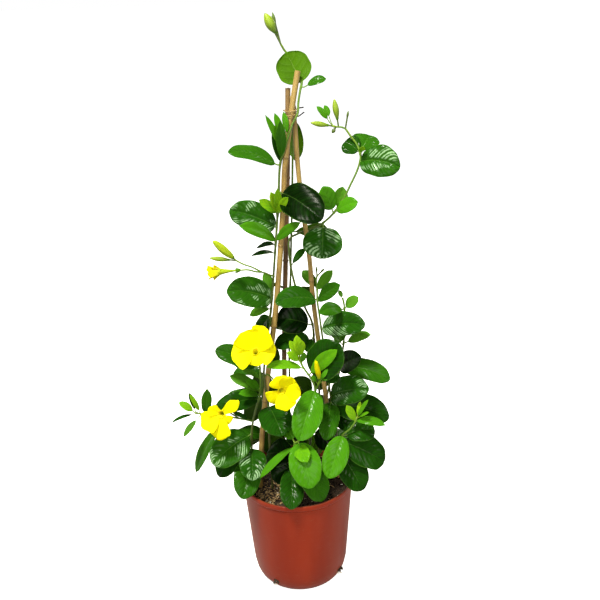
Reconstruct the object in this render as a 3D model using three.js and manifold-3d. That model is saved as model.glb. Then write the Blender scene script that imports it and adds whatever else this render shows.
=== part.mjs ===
// Potted mandevilla: a climbing plant with yellow funnel flowers, trained on three bamboo canes that
// are tied together near the top, in a terracotta-coloured plastic nursery pot filled with soil.
// Millimetres, +Z up. The origin is the centre of the pot's flat base and the front faces -Y.
import * as THREE from 'three';
import { mergeVertices } from 'three/addons/utils/BufferGeometryUtils.js';
import Module from 'manifold-3d';

const wasm = await Module();
wasm.setup();

// Driving dimensions of the pot and its soil.
const POT_HEIGHT = 170;
const POT_RIM_RADIUS = 85;
const POT_WALL_FOOT = { radius: 71.7, height: 27 };
const POT_FOOT_CURVE = [[52, 0], [60, 2], [66, 8], [69.5, 16]];
const POT_WALL = 1.8;
const POT_FLOOR = 2.4;
const RIM_BAND_HEIGHT = 8;
const RIM_BAND_STEP = 2.4;
const RIM_EDGE = 0.8;
const RIM_WALL = 2.6;
const POT_SIDES = 32;
const DRAIN_RADIUS = 5;
const DRAIN_ANGLES = [-33, 56, 142, 240];
const DRAIN_HEIGHT = 18;
const DRAIN_REACH = 68;
const DRAIN_DIP = -0.3;
const DRAIN_LENGTH = [-9, 14];
const SOIL_TOP = 151;
const SOIL_HEAP = 3;
const SOIL_HEAP_SHARE = 0.7;
const GAP = 0.3;

// Driving dimensions of the canes and their tie.
const CANE_FOOT = 95;
const CANE_SIDES = 8;
const CANE_JOINT_SPACING = 105;
const CANE_JOINT_SWELL = 1.12;
const CANE_RINGS_PER_JOINT = 2;
const TIE_HEIGHT = 701;
const TIE_PITCH = 5;
const TIE_TURNS = 2;
const TIE_STEPS_PER_TURN = 14;
const TIE_START_ANGLE = 0.2;
const TIE_WIRE_RADIUS = 0.8;
const TIE_TAIL = { reach: 8, back: 1, lowerRise: 5, upperRise: 1 };
const TIE_PLAY = 0.2;
const TIE_SAMPLES = 200;

// Driving dimensions of stems, leaves and flowers.
const ROOT_DEPTH = 22;
const CROWN_DEPTH = 2;
const STEM_SIDES = 5;
const STEM_TAPER = 0.3;
const PETIOLE_LENGTH = 7;
const PETIOLE_WIDTH = 1.5;
const PETIOLE_THICKNESS = 1.2;
const BLADE_THICKNESS = 0.8;
const LARGE_LEAF = 29;
const STALK_RADIUS = 0.8;
const STALK_SINK = 2;
const SLIVER = 0.1;
const BLADE_ARCH = 0.08;
const BLADE_RISE = 0.16;
const BLADE_FOLD = 0.2;
const UPRIGHT_SHARE = 0.3;
const BUD_FOOT_GIRTH = 0.15;
const BUD_FULLNESS = 0.8;
const BUD_SPAN = { from: 0.08, length: 0.87 };
const THROAT_RADIUS = 6.5;
const TUBE_RADIUS = 1.5;
const NECK_RADIUS = 3.9;
const TUBE_STATIONS = { neck: 0.5, mouth: 0.94, innerFoot: 0.42 };
const LOBE_SHOULDER = 0.9;
const LOBE_NOTCH = 0.68;
const LOBE_LIFT = 1.2;
const LOBE_MIDDLE = 0.55;
const LOBE_SPREAD = 0.42;

// Holes in the soil for the stems and canes.
const STEM_HOLE = { reach: 14, play: 0.45 };
const CANE_HOLE = { share: 0.16, swell: 1.25 };

// Where a viewer stands. Points of the plant are given as that viewer sees them against the upright
// plane through the pot's axis (x, z), with their true depth (y, positive away from the viewer).
const VIEWER = new THREE.Vector3(14, -1000, 852);

function seen(x, z, depth) {
  const reach = 1 + depth / Math.abs(VIEWER.y);
  return new THREE.Vector3(x, 0, z).sub(VIEWER).multiplyScalar(reach).add(VIEWER);
}

function asSeen(point) {
  const reach = 1 + point.y / Math.abs(VIEWER.y);
  const flat = point.clone().sub(VIEWER).divideScalar(reach).add(VIEWER);
  return [flat.x, flat.z, point.y];
}

// Canes: top radius and centre line from the soil up, each point as [x, z, depth].
const CANES = {
  cane_left: {
    radius: 4,
    line: [[-57, 150, -8], [-51.5, 223, -8], [-37, 332, -7], [-18, 455, -6], [-2.5, 595, -6],
      [1.5, 641, -6], [11.7, 704, -6], [22, 757, -6]],
  },
  cane_back: {
    radius: 3.7,
    line: [[-22, 190, 52], [-13, 325, 39], [-11, 378, 34], [-4, 500, 22], [4.5, 640, 12], [9, 737, 9]],
  },
  cane_right: {
    radius: 3.5,
    line: [[61, 159, 10], [49, 270, 9], [37.7, 390, 8], [32, 455, 8], [28.7, 515, 7], [20.5, 600, 5],
      [17.3, 650, 3.5], [16, 690, 2.5], [14, 727, 2]],
  },
};

// Leafy stems, one entry per plant shoot that holds together. root is the true [x, y] where it leaves
// the soil. Each branch has its line [x, z, depth], its leaves [root x, root z, tip x, tip z,
// tip depth, width, turn about the midrib, petiole length] and its buds [root x, root z, tip x,
// tip z, tip depth, thickness, length of the swollen part].
const STEMS = {
  stem_left_climber: {
    root: [-38, -17],
    branches: [
      {
        radius: 1.7,
        line: [[-39.5, 215, -17], [-39, 265, -17], [-38, 290, -15], [-40, 310, -15.5], [-42, 330, -13.5],
          [-41, 350, -9], [-33, 400, -8], [-24.6, 455, -7], [-19.6, 500, -7], [-14.6, 545, -7],
          [-9.2, 595, -7], [-5, 641, -8], [0.5, 658, -12.5], [6.5, 675, -13.5], [13, 692, -13],
          [20, 705, -10.5], [21.4, 718, -6.5], [24, 732, -5], [26.5, 742, -3], [27.5, 752, 5.5],
          [20, 768, 15], [8, 780, 17], [2.5, 789, 14]],
        leaves: [
          [26.5, 741, 9, 779, 8, 42, 180, 3], [25.5, 737, 57, 746, -8, 13, 35, 9],
          [0, 657, -21, 705, -32, 8, 20], [3, 665, -9, 707, -22, 10, 10],
          [6, 674, 2, 708, -10, 8, 20], [-4, 643, -11, 692, -13, 16, 30, 3],
          [-3, 647, -3, 697, -30, 13, 15, 3], [-5.2, 639, -71, 660, -34, 24, 40, 8],
          [-8, 606, 47, 565, -56, 46, 8, 8], [-11, 574, -35, 596, -26, 13, 15, 3],
          [-11, 575, -19, 606, -24, 11, 20, 3], [-11, 576, -10, 610, -30, 11, 15, 3],
          [-11, 574, 4, 598, -42, 11, 15, 3], [-14, 557, -74, 584, -24, 37, 5, 3],
          [-14, 541, -63, 561, -54, 19, 25, 2], [-14, 541, 19, 563, -46, 13, 10, 2],
          [-16, 531, -42, 529, 12, 14, 65, 3], [-17, 522, -50, 518, 2, 13, 65, 3],
          [-22, 462, -33, 495, 4, 15, 20, 3], [-25, 454, -86, 470, -46, 40, 12, 2],
          [-26, 441, -57, 431, -8, 14, 35, 3], [-28, 436, -45, 402, 6, 24, 35],
          [-38, 290, -20, 236, -64, 45, 8, 5],
        ],
        buds: [[2.5, 789, -15, 825, 8, 12, 26], [2.5, 789, -8, 822, 14, 5, 22],
          [2.5, 789, -6, 826, 20, 4, 16]],
      },
      {
        radius: 1.1,
        line: [[-19.8, 488, -8], [-27, 491, -14], [-36, 495, -22], [-50, 503, -30], [-60, 507, -34],
          [-70, 513, -37], [-73.1, 516.2, -39.35]],
        leaves: [],
        buds: [[-70, 513, -106, 518, -50, 6.5, 28]],
      },
      {
        radius: 1,
        line: [[-36, 495, -22], [-45, 496, -30], [-55, 499, -38], [-65.5, 499, -42.85]],
        leaves: [],
        buds: [],
      },
      {
        radius: 1.1,
        line: [[-41.5, 335, -12.5], [-38, 339, -20], [-31, 334, -30], [-26.2, 324.3, -37.5]],
        leaves: [],
        buds: [],
      },
    ],
  },
  stem_right_climber: {
    root: [30, 18],
    branches: [
      {
        radius: 1.6,
        line: [[34, 215, 20], [37, 300, 17], [32, 385, 13], [29.5, 418, 10], [22, 437, 7], [9, 471, 3],
          [3.5, 500, 1], [2, 520, 1], [3.5, 541, 2], [14, 547, 7], [25, 551, 14], [35, 555, 8],
          [47, 560, -6], [63, 574, -12], [76, 592, -14], [85, 610, -16], [95, 631, -17],
          [99, 648, -17], [95, 662, -13], [86, 675, -12], [80, 684, -12]],
        leaves: [
          [3, 503, 24, 526, 4, 13, 45, 5], [49, 561, 46, 511, -28, 50, 0],
          [63, 574, 49, 610, -26, 23, 10], [65, 578, 75, 609, -6, 20, 25, 5],
          [64, 575, 95, 588, -26, 20, 20, 3], [98, 653, 79, 667, -4, 26, 20, 3],
          [99, 651, 111, 674, 2, 34, 20], [97.4, 641, 150, 632, -40, 38, 5, 1],
          [99, 650, 101, 661, -31, 9, 20], [29.5, 415, -21, 424, 10, 40, 12],
          [31, 400, 21, 372, 0, 16, 30], [32, 392, -24, 384, 12, 28, 30],
        ],
        buds: [[80, 684, 84, 706, -14, 3, 10]],
      },
      {
        radius: 0.9,
        line: [[80, 684, -12], [75, 686, -13], [70, 686.5, -14], [63, 688, -16]],
        leaves: [[66, 687, 44, 713, -24, 8, 20, 14], [65, 687, 54, 714, -12, 8, 20, 14]],
        buds: [[64, 688, 36, 693, -24, 7, 24], [68, 687, 63, 679, -14, 5, 7],
          [71, 686, 66.5, 721, -18, 8, 26]],
      },
    ],
  },
  stem_left: {
    root: [-66, -12],
    branches: [
      {
        radius: 1.7,
        line: [[-67, 200, -16], [-65, 243, -18], [-62, 262, -17], [-56, 285, -15], [-50.5, 302, -14],
          [-48, 318, -12.5], [-47, 335, -11], [-47, 352, -11], [-47.5, 360, -18], [-47.97, 363.7, -23.6]],
        leaves: [
          [-65, 243, -127, 192, -52, 46, 10], [-65, 236, -120, 171, -28, 36, 25],
          [-66, 222, -69, 160, -68, 38, 10], [-67, 205, -86, 127, -74, 38, 10],
          [-50.5, 299, -117, 283, -26, 27, 15, 3], [-50, 307, -80, 309, -36, 13, 35, 2],
          [-48.5, 312, -91, 339, -6, 19, 30, 2], [-48, 316, -68, 331, -26, 12, 20, 3],
          [-47, 333, -86, 359, -22, 12, 30, 3], [-47, 351, -108, 381, -10, 28, 15],
        ],
        buds: [],
      },
      {
        radius: 1.2,
        line: [[-62, 263, -17], [-80, 268, -22], [-104, 273, -28], [-128, 277, -32], [-146, 281, -34]],
        leaves: [
          [-143, 280.4, -168, 299, -40, 11, 15], [-144, 281, -152, 314, -32, 8, 30],
          [-138, 279, -151, 312, -42, 7, 10], [-131, 277.5, -125, 320, -38, 15, 5, 3],
          [-64, 263, -91, 279, -30, 8, 30, 8], [-144, 281, -181, 266, -36, 5, 30],
          [-136, 279, -166, 241, -44, 9, 20, 12], [-104, 273, -153, 179, -18, 22, 45, 26],
        ],
        buds: [],
      },
      {
        radius: 1,
        line: [[-82, 268.6, -22.5], [-90, 275, -26], [-97, 280, -31], [-100.76, 281.1, -37.6]],
        leaves: [],
        buds: [],
      },
    ],
  },
  stem_front_right: {
    root: [16, -20],
    branches: [
      {
        radius: 1.6,
        line: [[20, 215, -25], [27, 260, -26], [31, 300, -26], [30, 318, -26], [25, 331, -24],
          [19, 341, -23], [14, 350, -22], [9, 366, -20]],
        leaves: [
          [30, 312, 5, 227, -74, 39, 8, 3], [25, 331, 68, 383, -44, 50, 12],
          [22, 336, 64, 374, -52, 19, 8], [15, 347, -38, 350, -50, 16, 35, 4],
          [10, 360, 7, 399, -26, 13, 15, 8], [10, 360, -3, 391, -28, 11, 15, 8],
          [11, 358, -8, 372, -34, 12, 20, 5], [13, 354, 17, 372, -24, 9, 25, 4],
          [10, 361, 14, 391, -34, 12, 15, 8], [22, 225, -14, 236, -22, 34, 30],
          [25, 245, 56, 215, -20, 34, 20],
        ],
        buds: [],
      },
      {
        radius: 1,
        line: [[31, 308, -26], [34, 316, -40], [36.5, 322, -46], [37.55, 327, -49.8]],
        leaves: [[36.5, 322, 50, 344, -44, 6, 10], [36, 321, 56, 336, -40, 8, 20],
          [35, 320, 27, 334, -50, 6, 20]],
        buds: [],
      },
    ],
  },
  stem_low_right: {
    root: [40, -24],
    branches: [
      {
        radius: 1.5,
        line: [[50, 180, -34], [62, 212, -42], [71, 235, -48], [80, 243, -50], [88, 255, -50],
          [91, 264, -49]],
        leaves: [
          [68, 233, 47, 159, -84, 33, 5, 2], [88, 256, 76, 284, -54, 12, 10, 3],
          [90, 261, 96, 289, -42, 6, 20], [90, 261, 108, 292, -62, 6, 20],
          [90, 262, 109, 270, -62, 5, 30], [89, 257, 133, 247, -60, 14, 30, 2],
          [62, 213, 99, 135, -62, 40, 15], [66, 223, 131, 184, -44, 44, 10],
          [70, 232, 117, 240, -36, 34, 20],
        ],
        buds: [],
      },
    ],
  },
  stem_low_front: {
    root: [-8, -28],
    branches: [
      {
        radius: 1.5,
        line: [[-8, 180, -40], [-4, 205, -48], [-2, 222, -52], [4, 226, -56]],
        leaves: [
          [-3, 223, 16, 189, -84, 21, 5], [4, 224, 20, 142, -92, 42, 5, 3],
          [-3, 224, -14, 252, -40, 20, 20], [-4, 216, -57, 163, -70, 14, 40, 3],
          [-8, 185, -12, 104, -94, 33, 10], [-3, 212, 38, 119, -70, 42, 20],
          [-6, 198, -44, 206, -26, 42, 20, 4], [-8, 184, -38, 162, -46, 34, 15, 4],
        ],
        buds: [],
      },
    ],
  },
  stem_cane_right: {
    root: [70, 4],
    branches: [
      {
        radius: 1.6,
        line: [[62.5, 200, 4], [56, 270, 5], [50, 330, 5], [44, 390, 3], [40.5, 425, 1], [38, 450, 2],
          [38, 468, 12], [37, 480, 14], [39, 488, 13]],
        leaves: [
          [53, 302, 109, 309, -46, 40, 12, 2], [53, 294, 44, 226, -48, 30, 10, 5],
          [55, 288, 138, 260, -14, 42, 12], [57, 265, 88, 244, -8, 26, 20],
          [42, 410, 104, 411, -38, 33, 5, 3], [38, 452, -20, 449, -28, 30, 25, 4],
          [37.5, 451, 70, 472, -24, 20, 25, 2], [38, 468, 19, 495, 28, 16, 15, 4],
          [38, 466, 60, 494, 6, 15, 15, 2],
        ],
        buds: [[39, 486, 38, 500, 13, 3, 9], [39, 486, 49, 497, 12, 3, 9]],
      },
    ],
  },
  stem_mid_right: {
    root: [54, 24],
    branches: [
      {
        radius: 1.5,
        line: [[60, 215, 18], [62, 300, 16], [67, 345, 6], [73, 381, -6], [75, 412, -10], [75, 440, -10],
          [73, 453, -8]],
        leaves: [
          [74, 446, 68, 464, -2, 7, 30], [75, 437, 95, 453, -12, 16, 20, 3],
          [75, 438, 39, 431, -50, 19, 15], [73, 383, 112, 395, -22, 17, 35],
          [73, 381, 54, 402, -10, 10, 40], [73, 385, 72, 404, -20, 7, 10],
          [68, 350, 139, 323, -22, 30, 15], [67, 343, 98, 362, -44, 29, 15, 3],
          [65, 338, 48, 323, -16, 22, 15],
        ],
        buds: [],
      },
    ],
  },
  stem_back_left: {
    root: [-32, 32],
    branches: [
      {
        radius: 1.6,
        line: [[-37, 215, 36], [-44, 250, 40], [-46, 300, 38], [-41, 350, 32], [-35, 390, 27]],
        leaves: [
          [-42, 240, -108, 228, 46, 42, 60], [-40, 232, -84, 216, 62, 40, 110],
          [-44, 256, -32, 206, 10, 34, 165], [-46, 298, -100, 300, 44, 36, 60],
          [-46, 305, -62, 262, 86, 38, 150], [-42, 340, -84, 345, 50, 32, 60],
          [-42, 345, -50, 305, 72, 34, 160], [-36, 385, -62, 398, 48, 26, 60],
          [-35, 388, -30, 350, 64, 28, 160],
        ],
        buds: [],
      },
    ],
  },
  stem_back_right: {
    root: [30, 46],
    branches: [
      {
        radius: 1.6,
        line: [[31, 210, 50], [38, 250, 48], [48, 300, 42], [55, 340, 34], [58, 380, 28]],
        leaves: [
          [32, 222, 92, 224, 66, 40, 60], [36, 242, 18, 202, 40, 34, 170],
          [38, 250, 100, 262, 58, 40, 60], [38, 252, 30, 268, 92, 38, 110],
          [47, 295, 92, 320, 50, 34, 60], [47, 298, 44, 264, 90, 36, 160],
          [54, 335, 84, 362, 38, 26, 60], [55, 342, 38, 310, 74, 30, 150],
          [58, 376, 80, 412, 26, 24, 50], [58, 372, 48, 350, 62, 26, 160],
        ],
        buds: [],
      },
    ],
  },
  stem_back_climber: {
    root: [-8, 56],
    branches: [
      {
        radius: 1.6,
        line: [[-9, 230, 58], [-5.5, 325, 46], [-4, 378, 41], [3, 500, 29], [9, 600, 21], [12, 660, 18],
          [14, 702, 17]],
        leaves: [
          [14, 700, 15, 645, 28, 22, 165], [9, 600, 36, 588, 52, 30, 100],
          [8, 590, -45, 578, 46, 28, 100], [6, 548, 55, 540, 44, 34, 120],
          [2, 474, -60, 470, 50, 34, 100], [1, 462, 32, 458, 56, 24, 120],
          [-1, 425, 12, 405, 72, 34, 150], [-2, 410, -36, 418, 62, 26, 120],
          [-5, 335, 20, 300, 90, 36, 160], [-6, 322, -30, 290, 92, 36, 150],
          [-7, 278, 6, 226, 42, 32, 170],
        ],
        buds: [],
      },
    ],
  },
};

// Open flowers: the throat and the foot of the tube as [x, z, depth], and the lobes as [tip x, tip z,
// tip depth, width].
const FLOWERS = {
  flower_left: {
    throat: [-52, 376, -42],
    foot: [-48, 364, -24],
    lobes: [[-34, 411, -46, 34], [-66, 409, -46, 36], [-86, 371, -50, 40], [-51, 354, -54, 24],
      [-24, 373, -48, 34]],
  },
  flower_centre: {
    throat: [-18, 311.5, -60],
    foot: [-26, 324, -38],
    lobes: [[-21, 335, -62, 26], [-1, 332, -64, 26], [10, 304, -66, 26], [-11, 278, -70, 26],
      [-36, 294, -62, 28]],
  },
  flower_far_left: {
    throat: [-108, 277, -56],
    foot: [-101, 281, -38],
    lobes: [[-81, 296, -60, 15], [-126, 287, -58, 17], [-139, 258, -64, 28], [-116, 234, -66, 30],
      [-98, 260, -60, 20]],
  },
  flower_half_open: {
    throat: [-95, 498, -50],
    foot: [-66, 499, -43],
    lobes: [[-110, 507, -52, 13], [-112, 498, -62, 13], [-111, 487, -57, 13], [-104, 489, -46, 13],
      [-104, 504, -45, 13]],
  },
};

// Yellow buds that are about to open: foot and tip as [x, z, depth], with their thickness.
const BUDS = {
  bud_upper: { foot: [-73.5, 516.5, -39.5], tip: [-100, 542.5, -50], thickness: 10 },
  bud_lower: { foot: [37.5, 327.5, -50], tip: [33, 359, -64], thickness: 7 },
};

// Surfaces, with colours taken from the real thing.
const SURFACES = {
  pot: { color: 0x9c4436, roughness: 0.45 },
  soil: { color: 0x2e2119, roughness: 1 },
  cane: { color: 0xc9a45c, roughness: 0.6 },
  tie: { color: 0x5a4327, roughness: 0.7 },
  leafy: { color: 0x3f7f1e, roughness: 0.35 },
  corolla: { color: 0xf7ea0c, roughness: 0.6 },
};

function surface(kind) {
  return new THREE.MeshStandardMaterial({ ...SURFACES[kind], metalness: 0 });
}

// A closed geometry as a solid that can be joined and cut.
function solidOf(geometry) {
  geometry.deleteAttribute('normal');
  geometry.deleteAttribute('uv');
  const merged = mergeVertices(geometry);
  const index = merged.index.array;
  const whole = [];
  for (let i = 0; i < index.length; i += 3) {
    const [a, b, c] = index.subarray(i, i + 3);
    if (a !== b && b !== c && c !== a) whole.push(a, b, c);
  }
  return new wasm.Manifold(new wasm.Mesh({
    numProp: 3,
    vertProperties: merged.attributes.position.array,
    triVerts: new Uint32Array(whole),
  }));
}

function fuse(solids) {
  return solids.reduce((whole, solid) => whole.add(solid)).simplify(SLIVER);
}

function meshOf(name, solid, kind) {
  const { vertProperties, triVerts } = solid.getMesh();
  const geometry = new THREE.BufferGeometry();
  geometry.setAttribute('position', new THREE.BufferAttribute(vertProperties, 3));
  geometry.setIndex(new THREE.BufferAttribute(triVerts, 1));
  geometry.computeVertexNormals();
  const mesh = new THREE.Mesh(geometry, surface(kind));
  mesh.name = name;
  return mesh;
}

// A round bar along a curve: a cylinder whose rings are laid along it, with its own radius at each.
function bar(curve, steps, sides, radiusAt) {
  const geometry = new THREE.CylinderGeometry(1, 1, 1, sides, steps);
  const frames = curve.computeFrenetFrames(steps, false);
  const position = geometry.attributes.position;
  for (let i = 0; i < position.count; i += 1) {
    const t = position.getY(i) + 0.5;
    const ring = Math.round(t * steps);
    const radius = radiusAt(t);
    const point = curve.getPointAt(t);
    point.addScaledVector(frames.binormals[ring], position.getX(i) * radius);
    point.addScaledVector(frames.normals[ring], position.getZ(i) * radius);
    position.setXYZ(i, point.x, point.y, point.z);
  }
  return solidOf(geometry);
}

// A thin closed solid on both sides of a sheet, a number of cells wide. Each row has its middle, its
// half width, its normal and its thickness, and both faces are split into the same triangles.
function sheetSolid(rows, across, cells) {
  const bands = rows.length - 1;
  const plane = new THREE.PlaneGeometry(1, 1, cells, bands);
  const { position, uv } = plane.attributes;
  const positions = [];
  for (const side of [0.5, -0.5]) {
    for (let i = 0; i < position.count; i += 1) {
      const { middle, reach, up, thickness } = rows[Math.round(uv.getY(i) * bands)];
      const shift = (2 * uv.getX(i) - 1) * reach;
      const point = middle.clone().addScaledVector(across, shift);
      point.addScaledVector(up, (cells > 1 ? BLADE_FOLD * Math.abs(shift) : 0) + side * thickness);
      positions.push(...point);
    }
  }
  const top = Array.from(plane.index.array);
  const triangles = [...top];
  for (let i = 0; i < top.length; i += 3) {
    triangles.push(top[i] + position.count, top[i + 2] + position.count, top[i + 1] + position.count);
  }
  const stride = cells + 1;
  const border = [];
  for (let cell = 0; cell < cells; cell += 1) border.push(stride * bands + cell);
  for (let row = bands; row > 0; row -= 1) border.push(stride * row + cells);
  for (let cell = cells; cell > 0; cell -= 1) border.push(cell);
  for (let row = 0; row < bands; row += 1) border.push(stride * row);
  border.forEach((from, k) => {
    const to = border[(k + 1) % border.length];
    triangles.push(from + position.count, to + position.count, to, from + position.count, to, from);
  });
  const geometry = new THREE.BufferGeometry();
  geometry.setAttribute('position', new THREE.Float32BufferAttribute(positions, 3));
  geometry.setIndex(triangles);
  return solidOf(geometry);
}

// Stations along a blade from the petiole's end to the tip, each with its half width as a share of
// the blade's.
const LARGE_OUTLINE = [[0, 0.1], [0.2, 0.82], [0.5, 1.06], [0.8, 0.84], [1, 0.14]];
const SMALL_OUTLINE = [[0, 0.12], [0.32, 0.92], [0.76, 0.92], [1, 0]];

// A leaf as one sheet from the root of its petiole to its tip. It faces the viewer, turned about its
// midrib by turn degrees: upward, or to the right where it hangs or stands straight. The more it
// reaches sideways, the more its midrib rises and droops again.
function leafSheet({ root, start, tip, width, turn }) {
  const large = width >= LARGE_LEAF;
  const along = tip.clone().sub(start);
  const length = along.length();
  along.normalize();
  const face = VIEWER.clone().sub(start.clone().lerp(tip, 0.5)).normalize();
  face.addScaledVector(along, -face.dot(along)).normalize();
  const side = new THREE.Vector3().crossVectors(face, along);
  if (Math.abs(side.z) > UPRIGHT_SHARE ? side.z < 0 : side.x < 0) side.negate();
  const angle = THREE.MathUtils.degToRad(turn);
  const normal = face.multiplyScalar(Math.cos(angle)).addScaledVector(side, Math.sin(angle));
  const across = new THREE.Vector3().crossVectors(along, normal);
  const crest = start.clone().lerp(tip, 0.5).addScaledVector(normal, BLADE_ARCH * length);
  crest.z += BLADE_RISE * length * (1 - Math.abs(along.z));
  const midrib = new THREE.QuadraticBezierCurve3(start, crest, tip);
  const rows = (large ? LARGE_OUTLINE : SMALL_OUTLINE).map(([station, share]) => ({
    middle: midrib.getPoint(station),
    reach: (share * width) / 2,
    up: new THREE.Vector3().crossVectors(across, midrib.getTangent(station)).normalize(),
    thickness: BLADE_THICKNESS,
  }));
  const stalk = { reach: PETIOLE_WIDTH / 2, up: rows[0].up, thickness: PETIOLE_THICKNESS };
  rows[0] = { ...rows[0], ...stalk };
  rows.unshift({ middle: root, ...stalk });
  return sheetSolid(rows, across, large ? 2 : 1);
}

// A curve whose even steps fall on the points it was given.
class StemCurve extends THREE.CatmullRomCurve3 {
  constructor(points) {
    super(points, false, 'centripetal');
  }

  getUtoTmapping(u) {
    return u;
  }
}

function rootedLine([x, y], line) {
  const below = [SOIL_TOP - ROOT_DEPTH, SOIL_TOP - CROWN_DEPTH].map((z) => (
    asSeen(new THREE.Vector3(x, y, z))
  ));
  return [...below, ...line];
}

// The point of a stem's straight-sided bar that is seen nearest to [x, z].
function nearestOn(line, x, z) {
  const points = line.map((p) => seen(...p));
  const samples = points.slice(1).flatMap((end, k) => {
    const steps = Math.ceil(points[k].distanceTo(end));
    return Array.from({ length: steps + 1 }, (_, i) => points[k].clone().lerp(end, i / steps));
  });
  const away = (point) => {
    const [seenX, seenZ] = asSeen(point);
    return Math.hypot(seenX - x, seenZ - z);
  };
  return samples.reduce((a, b) => (away(b) < away(a) ? b : a));
}

function stemBar(line, radius) {
  const curve = new StemCurve(line.map((p) => seen(...p)));
  return bar(curve, line.length - 1, STEM_SIDES, (t) => radius * (1 - STEM_TAPER * t));
}

function leafSolid(line, row) {
  const [rootX, rootZ, tipX, tipZ, tipDepth, width, turn, petiole = PETIOLE_LENGTH] = row;
  const root = nearestOn(line, rootX, rootZ);
  const tip = seen(tipX, tipZ, tipDepth);
  const start = root.clone().lerp(tip, petiole / root.distanceTo(tip));
  return leafSheet({ root, start, tip, width, turn });
}

// A bud on its stalk: a bar that swells over its last stretch.
function budSolid(line, row) {
  const [rootX, rootZ, tipX, tipZ, tipDepth, thickness, swollen] = row;
  const tip = seen(tipX, tipZ, tipDepth);
  const node = nearestOn(line, rootX, rootZ);
  const root = node.clone().lerp(tip, -STALK_SINK / node.distanceTo(tip));
  const stalk = new THREE.LineCurve3(root, tip);
  const neck = 1 - swollen / stalk.getLength();
  const swell = (t) => (thickness / 2) * swelling((t - neck) / (1 - neck));
  return bar(stalk, 4, 5, (t) => Math.max(STALK_RADIUS, swell(t)));
}

function swelling(t) {
  if (t < 0) return 0;
  const fullness = Math.sin(Math.PI * Math.min(1, t)) ** BUD_FULLNESS;
  return BUD_FOOT_GIRTH + (1 - BUD_FOOT_GIRTH) * fullness;
}

function budBody({ foot, tip, thickness }) {
  const swell = (t) => (thickness / 2) * swelling(BUD_SPAN.from + BUD_SPAN.length * t);
  return bar(new THREE.LineCurve3(seen(...foot), seen(...tip)), 4, 6, swell);
}

function stemPieces(stem) {
  return stem.branches.flatMap(({ radius, line, leaves, buds }, index) => {
    const full = index === 0 ? rootedLine(stem.root, line) : line;
    return [
      stemBar(full, radius),
      ...leaves.map((row) => leafSolid(full, row)),
      ...buds.map((row) => budSolid(full, row)),
    ];
  });
}

// The border of a flower's lobes as spokes round its throat: four a lobe, to one shoulder, the tip,
// the other shoulder and the notch before the next lobe. Height is along the flower's axis.
function lobeSpokes(lobes) {
  const sorted = [...lobes].sort((a, b) => a.angle - b.angle);
  const turnTo = (from, to) => (to - from + 2 * Math.PI) % (2 * Math.PI);
  return sorted.flatMap(({ angle, radius, height, width }, k) => {
    const next = sorted[(k + 1) % sorted.length];
    const last = sorted[(k + sorted.length - 1) % sorted.length];
    const half = Math.atan(width / 2 / (LOBE_SHOULDER * radius));
    const ahead = turnTo(angle, next.angle);
    const near = Math.min(half, LOBE_SPREAD * turnTo(last.angle, angle));
    const far = Math.min(half, LOBE_SPREAD * ahead);
    const shoulder = { radius: LOBE_SHOULDER * radius, height: LOBE_SHOULDER * height };
    return [
      { angle: angle - near, ...shoulder },
      { angle, radius, height },
      { angle: angle + far, ...shoulder },
      {
        angle: angle + ahead / 2,
        radius: (LOBE_NOTCH * (radius + next.radius)) / 2,
        height: (LOBE_NOTCH * (height + next.height)) / 2,
      },
    ];
  });
}

// An open flower as one closed skin: rings from the foot up the outside of the tube to the border of
// the five lobes, and back down the inside.
function flowerSolid({ throat, foot, lobes }) {
  const mouth = seen(...throat);
  const end = seen(...foot);
  const axis = mouth.clone().sub(end).normalize();
  const right = new THREE.Vector3(0, 0, 1).cross(axis).normalize();
  const up = new THREE.Vector3().crossVectors(axis, right);
  const spokes = lobeSpokes(lobes.map(([x, z, depth, width]) => {
    const reach = seen(x, z, depth).sub(mouth);
    const [across, rise] = [reach.dot(right), reach.dot(up)];
    const angle = Math.atan2(rise, across);
    return { angle, radius: Math.hypot(across, rise), height: reach.dot(axis), width };
  }));
  const outward = (angle) => {
    const out = right.clone().multiplyScalar(Math.cos(angle));
    return out.addScaledVector(up, Math.sin(angle));
  };
  const circle = (share, radius) => spokes.map(({ angle }) => (
    end.clone().lerp(mouth, share).addScaledVector(outward(angle), radius)
  ));
  const lobeRing = (share, side) => spokes.map(({ angle, radius, height }) => {
    const out = outward(angle);
    const normal = axis.clone().multiplyScalar(radius).addScaledVector(out, -height).normalize();
    const point = mouth.clone().addScaledVector(out, THROAT_RADIUS + (radius - THROAT_RADIUS) * share);
    point.addScaledVector(axis, height * share - LOBE_LIFT * (1 - share));
    return point.addScaledVector(normal, (side * BLADE_THICKNESS) / 2);
  });
  const { neck, mouth: mouthShare, innerFoot } = TUBE_STATIONS;
  return skinSolid([
    circle(0, 0),
    circle(0, TUBE_RADIUS),
    circle(neck, NECK_RADIUS),
    lobeRing(0, -1),
    lobeRing(LOBE_MIDDLE, -1),
    lobeRing(1, -1),
    lobeRing(1, 1),
    lobeRing(LOBE_MIDDLE, 1),
    circle(mouthShare, THROAT_RADIUS - BLADE_THICKNESS),
    circle(innerFoot, 0),
  ]);
}

// A closed solid from rings that have the same number of points, laid as a plane's rows.
function skinSolid(rings) {
  const sides = rings[0].length;
  const geometry = new THREE.PlaneGeometry(1, 1, sides, rings.length - 1);
  const { position } = geometry.attributes;
  [...rings].reverse().forEach((ring, row) => {
    for (let k = 0; k <= sides; k += 1) {
      const { x, y, z } = ring[k % sides];
      position.setXYZ(row * (sides + 1) + k, x, y, z);
    }
  });
  return solidOf(geometry);
}

function caneLine(line) {
  const points = line.map((p) => seen(...p));
  const lean = points[1].clone().sub(points[0]).normalize();
  const foot = points[0].clone().addScaledVector(lean, (CANE_FOOT - points[0].z) / lean.z);
  return new THREE.CatmullRomCurve3([foot, ...points], false, 'centripetal');
}

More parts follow.
